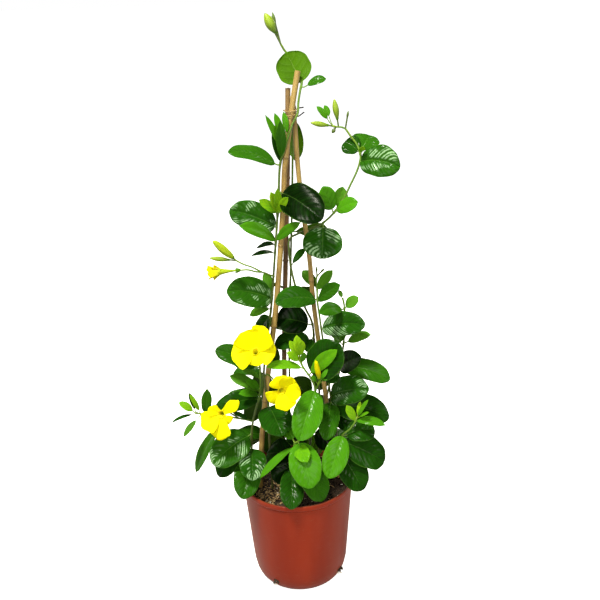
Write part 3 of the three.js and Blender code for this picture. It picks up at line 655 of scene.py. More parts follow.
class SkinRecipe(Recipe):
    """A material's node tree, written round its one shader."""

    def __init__(self, name: str) -> None:
        """Makes the material.

        Args:
            name: The material's name.
        """
        self.material = bpy.data.materials.new(name)
        self.material.use_nodes = True
        super().__init__(self.material.node_tree)
        self.shader = self.tree.nodes["Principled BSDF"]
        self.where = self.out(self.add("ShaderNodeTexCoord"), "Object")

    def attribute(self, name: str) -> Field:
        """Reads a number that the mesh holds."""
        return self.out(self.add("ShaderNodeAttribute", attribute_name=name), "Fac")

    def chart(self, name: str) -> tuple[Field, Field]:
        """Reads the two numbers of a UV map."""
        return self.parts(self.out(self.add("ShaderNodeUVMap", uv_map=name)))[:2]

    def ramp(self, share: Value, stops: Sequence[tuple[float, Colour]]) -> Field:
        """Gives a colour from a row of stops.

        Args:
            share: Where on the row it is taken.
            stops: Each stop's place and colour.

        Returns:
            The colour.
        """
        node = self.add("ShaderNodeValToRGB", {0: share})
        marks = node.color_ramp.elements
        while len(marks) < len(stops):
            marks.new(0.5)
        for mark, (position, colour) in zip(marks, stops):
            mark.position = position
            mark.color = (*colour, 1)
        return self.out(node)

    def mix(self, share: Value, first: object, second: object, way: str = "MIX") -> Field:
        """Mixes two colours.

        Args:
            share: The second one's share.
            first: The first colour.
            second: The second colour.
            way: How they are mixed.

        Returns:
            The colour.
        """
        sockets = {"Factor_Float": share, "A_Color": first, "B_Color": second}
        node = self.add("ShaderNodeMix", sockets, data_type="RGBA", blend_type=way)
        return Field(self, [s for s in node.outputs if s.identifier == "Result_Color"][0])

    def relief(self, height: Value, depth: float, strength: float) -> None:
        """Gives the shader a fine relief.

        Args:
            height: The relief's height between 0 and 1.
            depth: How deep it is, in metres.
            strength: The share of it that shows.
        """
        sockets = {"Height": height, "Distance": depth, "Strength": strength}
        self.feed(self.shader.inputs["Normal"], self.add("ShaderNodeBump", sockets))

    def finish(self, **sockets: object) -> Material:
        """Feeds the shader's inputs, named in words joined by underlines.

        Args:
            sockets: The inputs' values.

        Returns:
            The material.
        """
        for name, value in sockets.items():
            title = name.replace("_", " ").title().replace("Ior", "IOR")
            self.feed(self.shader.inputs[title], value)
        return self.material


@dataclass(frozen=True)
class LeafFinish:
    """Leaf skin: glossy and dark with age, darkest where its tone paints shade, bright where
    young, with pale ribs and side veins, and painted highlight bands between the side veins.
    """

    name: str
    stops: Stops
    dull: Colour
    rib: Colour
    gloss: float
    rib_share: float
    shine: float
    # Colour of the painted highlight bands, and the quilting in metres over which they come in.
    streak: Colour = (0.44, 0.70, 0.38)
    streak_quilt: Pair = (0.00125, 0.0015)

    def material(self) -> Material:
        """Makes the material.

        Returns:
            The material.
        """
        skin = SkinRecipe(self.name)
        share, v = skin.chart("blade_uv")
        side = share * 2 - 1
        u = side.unary("ABSOLUTE")
        offset = side.rise(-0.01, 0.01) * 0.5
        phase = (v - u * 0.24 - u * u * 0.1) * skin.attribute("veins") + offset
        phase = phase + skin.attribute("seed")
        gap = ((phase + 0.5).unary("FRACT") - 0.5).unary("ABSOLUTE") * 2
        vein = gap.rise(0.2, 0.04) * u.rise(0.02, 0.1) * u.rise(1, 0.7)
        rib = (u + v * 0.03).rise(0.042, 0.018) * v.rise(1, 0.8)
        mottle = skin.noise(skin.where, 70, 4)
        fine = skin.noise(skin.where, 900, 2)
        own_tone, dull = skin.attribute("tone"), skin.attribute("dull")
        tone = own_tone + (mottle - 0.5) * 0.22 + gap * 0.05 - 0.02
        pale = tone.rise(0, 0.5)
        colour = skin.mix(dull * 0.7, skin.ramp(tone, self.stops), self.dull)
        colour = skin.mix(vein * (pale * 0.1 + 0.02), colour, self.rib)
        colour = skin.mix(rib * (pale * 0.7 + 0.3) * self.rib_share, colour, self.rib)
        colour = skin.mix(u.rise(0.94, 0.995) * 0.2, colour, self.rib)
        # Pale bands between the side veins, in patches, on the most quilted blades: painted
        # highlight streaks.
        ragged = gap + (skin.noise(skin.where, 420, 2) - 0.5) * 0.5
        band = ragged.rise(0.2, 0.55) * ragged.rise(0.95, 0.7)
        band = band * u.rise(0.1, 0.3) * u.rise(1, 0.85)
        patch = skin.noise(skin.where, 45, 2).rise(0.5, 0.6)
        highlighted = skin.attribute("quilt").rise(*self.streak_quilt)
        colour = skin.mix(band * patch * highlighted * 0.6, colour, self.streak)
        worn = dull * 0.25 + own_tone.rise(0.1, -0.1) * 0.22
        rough = (mottle * 0.08 + fine * 0.03) + self.gloss + worn
        skin.relief(fine * 0.4 + gap, 0.00012, 0.5)
        return skin.finish(base_color=colour, roughness=rough, specular_ior_level=self.shine)


@dataclass(frozen=True)
class BarkFinish:
    """Stems, petioles and green buds: brown-olive at the foot, fresh green where young."""

    name: str
    stops: Stops
    roughness: float

    def material(self) -> Material:
        """Makes the material.

        Returns:
            The material.
        """
        skin = SkinRecipe(self.name)
        mottle = skin.noise(skin.where, 240, 4)
        stretched = skin.noise(skin.where * (1, 1, 0.12), 1500, 2)
        colour = skin.ramp(skin.attribute("tone") + (mottle - 0.5) * 0.3, self.stops)
        skin.relief(stretched, 0.0001, 0.6)
        return skin.finish(base_color=colour, roughness=mottle * 0.2 + self.roughness)


@dataclass(frozen=True)
class PetalFinish:
    """Petals: clear yellow with faint rays, ochre in the throat, greenish at the tube's foot."""

    name: str
    stops: Stops
    roughness: float
    rays: Stops = ((0.3, (0.86, 0.80, 0.55)), (0.62, (1.0, 1.0, 1.0)))

    def material(self) -> Material:
        """Makes the material.

        Returns:
            The material.
        """
        skin = SkinRecipe(self.name)
        across, out = skin.chart("petal_uv")
        rays = skin.noise(skin.vector(across * 30, out * 1.5, 0), 1, 3)
        mottle = skin.noise(skin.where, 120, 3)
        colour = skin.ramp(out + (mottle - 0.5) * 0.06, self.stops)
        colour = skin.mix(0.55, colour, skin.ramp(rays, self.rays), "MULTIPLY")
        skin.relief(rays, 0.0003, 0.6)
        return skin.finish(
            base_color=colour,
            roughness=mottle * 0.15 + self.roughness,
            subsurface_weight=0.12,
            subsurface_scale=0.002,
            specular_ior_level=0.05,
        )


@dataclass(frozen=True)
class CaneFinish:
    """Bamboo: a smooth tan rind with fine fibres, blotches, and a dark line at each joint."""

    name: str
    light: Colour
    mid: Colour
    dark: Colour
    crown: Colour
    roughness: float
    crown_height: Pair = (0.62, 0.70)

    def material(self) -> Material:
        """Makes the material.

        Returns:
            The material.
        """
        skin = SkinRecipe(self.name)
        fibre = skin.noise(skin.where * (1, 1, 0.03), 1400, 3, 0.7)
        blotch = skin.noise(skin.where * (1, 1, 0.35), 60, 4, 0.6)
        specks = skin.noise(skin.where, 420, 3, 0.7)
        share = blotch * 0.75 + fibre * 0.35 - 0.05
        colour = skin.ramp(share, ((0.32, self.dark), (0.47, self.mid), (0.66, self.light)))
        _, _, height = skin.parts(skin.where)
        # Towards the top the rind turns to the crown colour: on the tan canes a darker tan,
        # painted shade against the strong light from above; on the dark cane a lighter tan.
        colour = skin.mix(height.rise(*self.crown_height) * share, colour, self.crown)
        colour = skin.mix(specks.rise(0.6, 0.72) * 0.5, colour, self.dark)
        colour = skin.mix(skin.attribute("joint").rise(0.2, 0.9) * 0.55, colour, self.dark)
        skin.relief(fibre, 0.00012, 0.7)
        rough = blotch * 0.2 + self.roughness
        return skin.finish(base_color=colour, roughness=rough, coat_weight=0.08)


@dataclass(frozen=True)
class PlasticFinish:
    """Moulded plastic: satin, faintly clouded with painted upright reflection bands, scuffed at
    the foot, with painted shade in the colour of soil on the lip and inside.
    """

    name: str
    colour: Colour
    deep: Colour
    dust: Colour
    roughness: float
    # Colour of the painted shade on the lip and inside, the lip's heights, and the heights over
    # which the inner shade fades.
    soiled: Colour = (0.10, 0.035, 0.015)
    lip: Pair = (0.166, 0.169)
    splashed: Pair = (0.172, 0.150)

    def material(self) -> Material:
        """Makes the material.

        Returns:
            The material.
        """
        skin = SkinRecipe(self.name)
        _, _, height = skin.parts(skin.where)
        facing = skin.out(skin.add("ShaderNodeNewGeometry"), "Normal")
        _, _, up = skin.parts(facing)
        outward = skin.reckon("DOT_PRODUCT", facing, skin.where * (1, 1, 0))
        inward = outward.rise(0, -0.02)
        # Noise stretched upright, between the deep and the plain red: faint clouding of the
        # plastic and painted upright reflection bands.
        cloud_and_reflection = skin.noise(skin.where * (1, 1, 0.12), 26, 4)
        grain = skin.noise(skin.where, 1600, 2)
        scuff = skin.noise(skin.where * (1, 1, 4), 55, 5, 0.7)
        colour = skin.mix(cloud_and_reflection.rise(0.3, 0.7), self.deep, self.colour)
        scuffed = scuff.rise(0.56, 0.74) * (height.rise(0.05, 0) * 0.5 + 0.1)
        colour = skin.mix(scuffed, colour, self.dust)
        # The rim's upward faces are darkened to the colour of soil: painted shade against the
        # strong light from above.
        colour = skin.mix(up.rise(0.3, 0.8) * height.rise(*self.lip) * 0.65, colour, self.soiled)
        # The inner wall is darkened to the colour of soil, most down by the soil line: painted
        # shade inside the pot.
        inner_shade = inward * (height.rise(*self.splashed) * 0.4 + 0.4)
        colour = skin.mix(inner_shade, colour, self.soiled)
        skin.relief(grain, 0.00006, 0.5)
        rough = cloud_and_reflection * 0.16 + scuffed * 0.3 + self.roughness
        return skin.finish(base_color=colour, roughness=rough, specular_ior_level=0.2)


@dataclass(frozen=True)
class EarthFinish:
    """Loose matter, such as peat, bark chips or grit, mottled between two colours."""

    name: str
    dark: Colour
    light: Colour
    scale: float

    def material(self) -> Material:
        """Makes the material.

        Returns:
            The material.
        """
        skin = SkinRecipe(self.name)
        coarse = skin.noise(skin.where, self.scale, 5, 0.65)
        fine = skin.noise(skin.where, self.scale * 9, 3, 0.7)
        colour = skin.ramp(coarse * 0.6 + fine * 0.4, ((0.36, self.dark), (0.64, self.light)))
        skin.relief(fine + coarse, 0.0006, 0.8)
        return skin.finish(base_color=colour, roughness=coarse * 0.1 + 0.85)


@dataclass(frozen=True)
class WireFinish:
    """A wire in brown paper, with a faint twist and bare ends."""

    name: str
    colour: Colour
    worn: Colour
    bare: Colour
    bare_from: Pair = (0.021, 0.023)

    def material(self) -> Material:
        """Makes the material.

        Returns:
            The material.
        """
        skin = SkinRecipe(self.name)
        twist = skin.noise(skin.where * (1, 1, 2.5), 700, 3)
        colour = skin.mix(twist.rise(0.4, 0.7), self.colour, self.worn)
        across, _, _ = skin.parts(skin.where)
        colour = skin.mix(across.rise(*self.bare_from), colour, self.bare)
        skin.relief(twist, 0.0002, 0.8)
        return skin.finish(base_color=colour, roughness=twist * 0.2 + 0.45)


# The first stop is near black: the painted shade that the darkest tone reaches.
LEAF_STOPS = (
    (0, (0.0015, 0.008, 0.0005)),
    (0.22, (0.012, 0.066, 0.003)),
    (0.45, (0.028, 0.125, 0.004)),
    (0.68, (0.062, 0.250, 0.005)),
    (0.86, (0.130, 0.360, 0.006)),
    (1, (0.290, 0.520, 0.008)),
)
UNDERSIDE_STOPS = (
    (0, (0.024, 0.075, 0.002)),
    (0.4, (0.052, 0.140, 0.002)),
    (0.75, (0.09, 0.24, 0.006)),
    (1, (0.24, 0.42, 0.03)),
)
BARK_STOPS = (
    (0, (0.060, 0.050, 0.016)),
    (0.35, (0.060, 0.095, 0.010)),
    (0.65, (0.105, 0.22, 0.012)),
    (1, (0.27, 0.38, 0.012)),
)
PETAL_STOPS = (
    (0, (0.23, 0.39, 0.02)),
    (0.2, (0.38, 0.49, 0.02)),
    (0.38, (0.72, 0.62, 0.008)),
    (0.5, (0.90, 0.83, 0.002)),
    (1, (0.92, 0.87, 0.002)),
)
FINISHES = {
    "blade": LeafFinish(
        "leaf upper side", LEAF_STOPS, dull=(0.075, 0.15, 0.02), rib=(0.17, 0.36, 0.05),
        gloss=0.12, rib_share=0.35, shine=0.055,
    ),
    "underside": LeafFinish(
        "leaf underside", UNDERSIDE_STOPS, dull=(0.10, 0.18, 0.03), rib=(0.18, 0.32, 0.06),
        gloss=0.45, rib_share=0.35, shine=0.04,
    ),
    "bark": BarkFinish("stem", BARK_STOPS, 0.38),
    "petal": PetalFinish("petal", PETAL_STOPS, 0.5),
    "bamboo": CaneFinish(
        "bamboo", light=(0.46, 0.33, 0.10), mid=(0.35, 0.225, 0.06), dark=(0.15, 0.08, 0.025),
        crown=(0.36, 0.24, 0.07), roughness=0.4,
    ),
    "red bamboo": CaneFinish(
        "dark bamboo", light=(0.23, 0.125, 0.045), mid=(0.14, 0.065, 0.022),
        dark=(0.06, 0.025, 0.01), crown=(0.36, 0.24, 0.09), roughness=0.42,
    ),
    "plastic": PlasticFinish(
        "pot plastic", colour=(0.31, 0.029, 0.008), deep=(0.26, 0.022, 0.006),
        dust=(0.40, 0.18, 0.10), roughness=0.25,
    ),
    "peat": EarthFinish("peat", (0.012, 0.007, 0.004), (0.075, 0.042, 0.022), 260),
    "chip": EarthFinish("bark chips", (0.40, 0.22, 0.08), (0.90, 0.66, 0.34), 320),
    "grit": EarthFinish("grit", (0.55, 0.52, 0.45), (0.85, 0.83, 0.78), 300),
    "rootlet": EarthFinish("rootlets", (0.42, 0.34, 0.22), (0.80, 0.74, 0.60), 400),
    "wire": WireFinish(
        "paper wire", colour=(0.26, 0.16, 0.055), worn=(0.42, 0.29, 0.12),
        bare=(0.045, 0.04, 0.045),
    ),
}
WORKSHOP: dict[str, object] = {}


def set_up_workshop() -> None:
    """Makes the node trees and materials that several pieces share."""
    WORKSHOP["leafy growth"] = blade_recipe()
    WORKSHOP["bar"] = bar_recipe()
    WORKSHOP["crumbs"] = crumb_recipe()
    for title, finish in FINISHES.items():
        WORKSHOP[title] = finish.material()


class Tone(Enum):
    """How a leaf looks: its tone from dark to young, of which the darkest paints shade, its
    dullness, and its quilting in mm.
    """

    # Below the ramp's start: an old leaf's dark green, darkened further as painted shade.
    DEEP = (-0.10, 0, 0.6)
    DARK = (0.16, 0, 0.9)
    GLOSS = (0.26, 0, 1.2)
    # STREAK's quilting is deep enough to turn on the painted highlight bands.
    STREAK = (0.25, 0, 1.5)
    MID = (0.38, 0, 0.8)
    UNDER = (0.35, 0, 0.6)
    OLIVE = (0.62, 0.5, 0.3)
    LIGHT = (0.62, 0.05, 0.5)
    BRIGHT = (0.60, 0, 0.7)
    YOUNG = (0.93, 0.1, 0.25)
    CRINKLED = (0.92, 0.1, 1.1)
    FRESH = (0.76, 0, 0.5)


DEEP, DARK, GLOSS, STREAK, MID, UNDER, OLIVE, LIGHT, BRIGHT, YOUNG, CRINKLED, FRESH = Tone


@dataclass(frozen=True)
class Leaf:
    """A leaf, from its root on a branch to its tip, as the viewer sees them."""

    tone: Tone
    root_x: float
    root_z: float
    tip_x: float
    tip_z: float
    tip_depth: float
    width: float
    turn: float
    petiole: float = 7


@dataclass(frozen=True)
class BudOnStalk:
    """A green bud on its stalk, with its thickness and the length of the swollen part."""

    root_x: float
    root_z: float
    tip_x: float
    tip_z: float
    tip_depth: float
    thickness: float
    swollen: float


@dataclass(frozen=True)
class Branch:
    """A branch: its radius, its line, its leaves and its buds."""

    radius: float
    line: tuple[Place, ...]
    leaves: tuple[Leaf, ...] = ()
    buds: tuple[BudOnStalk, ...] = ()


def leaves(*rows: tuple) -> tuple[Leaf, ...]:
    """Makes leaves of rows of their fields."""
    return tuple(Leaf(*row) for row in rows)


def buds(*rows: tuple) -> tuple[BudOnStalk, ...]:
    """Makes buds of rows of their fields."""
    return tuple(BudOnStalk(*row) for row in rows)


@dataclass(frozen=True)
class Bow:
    """A blade's midrib, from start over crest to tip, the way across it and the way it faces."""

    start: Point
    crest: Point
    tip: Point
    across: Point
    normal: Point

    def point(self, share: float) -> Point:
        """Gives the point of the midrib at a share of its length."""
        rest = 1 - share
        return self.start * rest**2 + self.crest * 2 * rest * share + self.tip * share**2

    @staticmethod
    def between(start: Point, tip: Point, turn: float, arch: float = 0.08) -> "Bow":
        """Lays a midrib between two points, facing the viewer and turned about itself.

        Args:
            start: Where the blade begins.
            tip: Where it ends.
            turn: The turn about the midrib in degrees, upward or to the right.
            arch: How far it bows, as a share of its length.

        Returns:
            The midrib.
        """
        along = unit(tip - start)
        length = float(np.linalg.norm(tip - start))
        middle = (start + tip) / 2
        face = unit(VIEWER - middle)
        face = unit(face - along * float(face @ along))
        side = np.cross(face, along)
        if (side[2] < 0) if abs(side[2]) > 0.3 else (side[0] < 0):
            side = -side
        normal = around(face, side, radians(turn))
        crest = middle + normal * arch * length
        crest[2] += 0.16 * length * (1 - abs(along[2]))
        return Bow(start, crest, tip, np.cross(along, normal), normal)


class Scaffold:
    """The points and paths from which blades and bars grow."""

    VECTORS = ("start", "crest", "tip", "across")
    NUMBERS = ("half_width", "slim", "seed", "veins", "fold", "quilt", "wave", "roll", "twist")
    NUMBERS += ("tone", "dull", "bar_radius")

    def __init__(self, seed: int) -> None:
        """Starts empty.

        Args:
            seed: What sets its random draws.
        """
        self.points: list[Point] = []
        self.edges: list[tuple[int, int]] = []
        self.held: dict[str, list] = {name: [] for name in (*self.VECTORS, *self.NUMBERS)}
        self.draw = random.Random(seed)

    def _hold(self, point: Point, **values: object) -> None:
        """Adds a point with its attributes, of which the rest are zero.

        Args:
            point: The point.
            values: Its attributes by name.
        """
        self.points.append(point * MM)
        for name in self.VECTORS:
            self.held[name].append(np.asarray(values.get(name, (0, 0, 0)), dtype=float) * MM)
        for name in self.NUMBERS:
            self.held[name].append(float(values.get(name, 0)))

    def path(self, points: np.ndarray, radii: Sequence[float], tones: Sequence[float]) -> None:
        """Adds a round bar.

        Args:
            points: Its middle line.
            radii: Its radius at each point, in mm.
            tones: Its tone at each point.
        """
        first = len(self.points)
        for point, radius, tone in zip(points, radii, tones):
            self._hold(point, bar_radius=radius * MM, tone=tone)
        self.edges += [(k, k + 1) for k in range(first, len(self.points) - 1)]

    def blade(self, bow: Bow, width: float, tone: Tone, scale: float = 1.0) -> None:
        """Adds a leaf blade.

        Args:
            bow: Its midrib and the way that it faces.
            width: Its full width in mm.
            tone: How it looks.
            scale: A factor on its fold and waves.
        """
        length = float(np.linalg.norm(bow.tip - bow.start))
        share, dull, quilt = tone.value
        slim = 0.0 if width >= LARGE_LEAF else min(1.0, (LARGE_LEAF - width) / 10)
        draw = self.draw.uniform
        self._hold(
            np.zeros(3), start=bow.start, crest=bow.crest, tip=bow.tip, across=bow.across / MM,
            half_width=width / 2 * MM, slim=slim, seed=draw(0, 1),
            veins=max(4.0, min(9.0, length / 9.0)),
            fold=(0.20 - 0.08 * slim) * scale * draw(0.8, 1.2),
            quilt=quilt * MM * min(1.0, width / 34),
            wave=draw(0.05, 0.13) * scale, roll=draw(0.02, 0.12) * scale,
            twist=draw(-0.3, 0.3) * scale,
            tone=min(1.0, max(0.0, share + draw(-0.05, 0.05))), dull=dull,
        )

    def grow(self, name: str, rows: int, columns: int) -> Mesh:
        """Grows the blades and bars.

        Args:
            name: The name of the carrying object.
            rows: How many rows of points a blade has.
            columns: How many columns it has.

        Returns:
            The grown mesh.
        """
        mesh = bpy.data.meshes.new(name)
        mesh.from_pydata([tuple(p) for p in self.points], self.edges, [])
        for title, values in self.held.items():
            hold(mesh, title, values)
        sizes = {"Rows": rows, "Columns": columns, "Bar Sides": GREEN_BAR_SIDES}
        sizes["Thickness"] = BLADE_THICKNESS * MM
        finishes = {title.title(): WORKSHOP[title] for title in ("blade", "underside", "bark")}
        return WORKSHOP["leafy growth"].grow(set_out(name, mesh), sizes | finishes)


@dataclass(frozen=True)
class Bar:
    """A round bar with joints at even steps, its sizes in mm, named as the recipe's inputs are."""

    radius: float
    bar_sides: int
    step: float
    joint_spacing: float
    joint_rise: float
    joint_length: float
    finish: str
    joint_offset: float = 0
    taper: float = 0.0

    def along(self, name: str, points: np.ndarray) -> Mesh:
        """Grows the bar along a path.

        Args:
            name: The name of the carrying object.
            points: The path's points in mm.

        Returns:
            The bar.
        """
        mesh = bpy.data.meshes.new(name)
        edges = [(k, k + 1) for k in range(len(points) - 1)]
        mesh.from_pydata([tuple(p * MM) for p in points], edges, [])
        values = {title.replace("_", " ").title(): held for title, held in vars(self).items()}
        values["Finish"] = WORKSHOP[self.finish]
        for title in ("Radius", "Step", "Joint Spacing", "Joint Offset", "Joint Length"):
            values[title] *= MM
        return WORKSHOP["bar"].grow(set_out(name, mesh), values)


class Draft:
    """A mesh that is laid grid by grid."""

    def __init__(self) -> None:
        """Starts empty."""
        self.vertices: list[Point] = []
        self.faces: list[tuple[int, ...]] = []
        self.charts: list[Pair] = []

    def grid(
        self, points: np.ndarray, wrap: bool = False, chart: Optional[np.ndarray] = None
    ) -> None:
        """Adds rows of points with faces between them.

        Args:
            points: The points, by row and column.
            wrap: Whether the last column joins the first.
            chart: Each point's place on its petal.
        """
        rows, columns = points.shape[:2]
        first = len(self.vertices)
        self.vertices += list(points.reshape(-1, 3))
        places = np.zeros((rows * columns, 2)) if chart is None else chart.reshape(-1, 2)
        self.charts += [tuple(c) for c in places]
        for row in range(rows - 1):
            for column in range(columns if wrap else columns - 1):
                after = (column + 1) % columns
                here, above = first + row * columns, first + (row + 1) * columns
                self.faces.append((here + column, here + after, above + after, above + column))

    def mesh(self, name: str, material: Material, thickness: float = 0) -> Mesh:
        """Makes the mesh, in metres, and gives a sheet its thickness.

        Args:
            name: The mesh's name.
            material: Its material.
            thickness: A sheet's thickness in mm, or 0 for a closed body.

        Returns:
            The mesh.
        """
        mesh = bpy.data.meshes.new(name)
        mesh.from_pydata([tuple(v * MM) for v in self.vertices], [], self.faces)
        layer = mesh.uv_layers.new(name="petal_uv")
        for loop in mesh.loops:
            layer.data[loop.index].uv = self.charts[loop.vertex_index]
        work = bmesh.new()
        work.from_mesh(mesh)
        bmesh.ops.remove_doubles(work, verts=work.verts, dist=2e-6)
        bmesh.ops.dissolve_degenerate(work, edges=work.edges, dist=1e-7)
        if thickness == 0:
            bmesh.ops.recalc_face_normals(work, faces=work.faces)
        work.to_mesh(mesh)
        work.free()
        mesh.polygons.foreach_set("use_smooth", [True] * len(mesh.polygons))
        mesh.materials.append(material)
        if thickness == 0:
            return mesh
        body = set_out(name, mesh)
        thick = body.modifiers.new("thickness", "SOLIDIFY")
        thick.thickness = thickness * MM
        thick.offset = -1
        return baked(body)


def swelling(share: float) -> float:
    """Gives a bud's girth, from its foot at 0 to its tip at 1."""
    return 0.0 if share < 0 else 0.15 + 0.85 * sin(pi * min(1.0, share)) ** 0.8


def nearest_on(path: np.ndarray, x: float, z: float) -> int:
    """Finds the point of a path that is seen nearest to (x, z).

    Args:
        path: The path's points.
        x: Where it is seen, to the right.
        z: Where it is seen, upward.

    Returns:
        The point's number.
    """
    reach = 1 + path[:, 1:2] / abs(VIEWER[1])
    flat = (path - VIEWER) / reach + VIEWER
    return int(np.argmin(np.hypot(flat[:, 0] - x, flat[:, 2] - z)))


@dataclass(frozen=True)
class Shoot:
    """A leafy shoot: its branches, each with leaves and buds.

    Each of the feet is a flower's foot, a second point towards which its axis goes, and the
    length of the sepals there.
    """

    node: str
    root: Pair
    branches: tuple[Branch, ...]
    feet: tuple[tuple[float, ...], ...] = ()
    root_depth: float = 22
    taper: float = 0.18
    midrib_radius: float = 0.55
    stalk_radius: float = 1.05
    least_radius: float = 1.25
    broad_leaf: float = 20
    broad_grid: tuple[int, int] = (56, 19)
    fine_grid: tuple[int, int] = (20, 9)

    def _stem(self, scaffold: Scaffold, path: np.ndarray, branch: Branch, main: bool) -> None:
        """Lays a branch's bar, with a swelling at each leaf.

        Args:
            scaffold: What it is added to.
            path: The branch's path.
            branch: The branch.
            main: Whether it rises from the soil.
        """
        share = np.linspace(0, 1, len(path))
        radii = max(branch.radius, self.least_radius) * (1 - self.taper * share)
        tones = np.linspace(0.1 if main else 0.55, 0.75 if main else 0.85, len(path))
        for leaf in branch.leaves:
            at = nearest_on(path, leaf.root_x, leaf.root_z)
            away = np.linalg.norm(path - path[at], axis=1)
            radii = radii + 0.28 * np.exp(-((away / 1.8) ** 2))
        scaffold.path(path, np.minimum(radii, branch.radius + 0.7), tones)

    def _leaf(self, scaffold: Scaffold, path: np.ndarray, leaf: Leaf) -> None:
        """Lays a leaf: its petiole, its blade, and the rib that stands out below the blade.

        Args:
            scaffold: What it is added to.
            path: The branch's path.
            leaf: The leaf.
        """
        root = path[nearest_on(path, leaf.root_x, leaf.root_z)]
        tip = seen(leaf.tip_x, leaf.tip_z, leaf.tip_depth)
        start = root + (tip - root) * leaf.petiole / float(np.linalg.norm(tip - root))
        bow = Bow.between(start, tip, leaf.turn)
        scaffold.blade(bow, leaf.width, leaf.tone)
        sag = np.array((0, 0, -0.12)) * leaf.petiole
        stalk = [root, (root + start) / 2 + sag, start - bow.normal * 0.1]
        rib = [bow.point(s) - bow.normal * 0.25 for s in (0.12, 0.3, 0.5, 0.7, 0.85)]
        points = smooth_path(stalk + rib, 4)
        thin = self.midrib_radius * min(1.0, leaf.width / 26 + 0.3)
        radii = np.interp(np.linspace(0, 1, len(points)), (0, 0.25, 0.4, 1), (2.0, 1.7, 1, 0.25))
        tone = leaf.tone.value[0] * 0.4 + 0.5
        scaffold.path(points, radii * thin, [tone] * len(points))

    def _bud(self, scaffold: Scaffold, path: np.ndarray, bud: BudOnStalk) -> None:
        """Lays a bud on its stalk.

        Args:
            scaffold: What it is added to.
            path: The branch's path.
            bud: The bud.
        """
        root = path[nearest_on(path, bud.root_x, bud.root_z)]
        tip = seen(bud.tip_x, bud.tip_z, bud.tip_depth)
        length = float(np.linalg.norm(tip - root))
        neck = 1 - bud.swollen / length
        shares = np.concatenate((np.linspace(0, neck, 5)[:-1], np.linspace(neck, 1, 16)))
        points = np.array([root + (tip - root) * s for s in shares])
        swell = [bud.thickness / 2 * swelling((s - neck) / (1 - neck)) for s in shares]
        radii = [max(self.stalk_radius if s < 0.9 else 0.15, r) for s, r in zip(shares, swell)]
        ripe = 1.0 if bud.thickness > 6 else 0.5
        tones = np.interp(shares, (0, neck, neck + 0.1, 1), (0.4, 0.4, 0.75 * ripe, ripe))
        scaffold.path(points, radii, tones)
        along = unit(tip - root)
        self._sepals(scaffold, root + along * (neck * length - 1), along, bud.thickness * 0.62)

    def _sepals(self, scaffold: Scaffold, foot: Point, along: Point, size: float) -> None:
        """Lays five small sepals round a flower's or a bud's foot.

        Args:
            scaffold: What they are added to.
            foot: Where they begin.
            along: The flower's axis.
            size: Their length in mm.
        """
        first = unit(np.cross(along, (0.31, 0.2, 0.93)))
        second = np.cross(along, first)
        for k in range(5):
            out = around(first, second, FULL_TURN * k / 5)
            start = foot + out * 0.5
            tip = foot + along * size + out * size * 0.42
            middle = (start + tip) / 2 + out * size * 0.12
            bow = Bow(start, middle, tip, np.cross(unit(tip - start), -out), -out)
            scaffold.blade(bow, size * 0.5, Tone.LIGHT, 0.4)

    def build(self) -> None:
        """Builds the shoot as one piece."""
        seed = sum(ord(letter) * (k + 3) for k, letter in enumerate(self.node))
        large, small = Scaffold(seed), Scaffold(seed + 1)
        below = [np.array((*self.root, z)) for z in (SOIL_TOP - self.root_depth, SOIL_TOP - 2)]
        for number, branch in enumerate(self.branches):
            line = [seen(*p) for p in branch.line]
            path = smooth_path(line if number else below + line, 8)
            self._stem(small, path, branch, number == 0)
            for leaf in branch.leaves:
                self._leaf(large if leaf.width >= self.broad_leaf else small, path, leaf)
            for bud in branch.buds:
                self._bud(small, path, bud)
        for *foot_place, to_x, to_z, to_depth, size in self.feet:
            foot = seen(*foot_place)
            along = unit(seen(to_x, to_z, to_depth) - foot)
            self._sepals(small, foot - along * 1.0, along, size)
        broad = large.grow(f"{self.node} broad", *self.broad_grid)
        fine = small.grow(f"{self.node} fine", *self.fine_grid)
        place(joined([broad, fine], self.node), f"vine_{self.node}", self.node)


@dataclass
class Lobe:
    """A petal lobe: its angle, reach, height and width, and the gaps to its neighbours."""

    angle: float
    radius: float
    height: float
    width: float
    before: float = 0
    after: float = 0


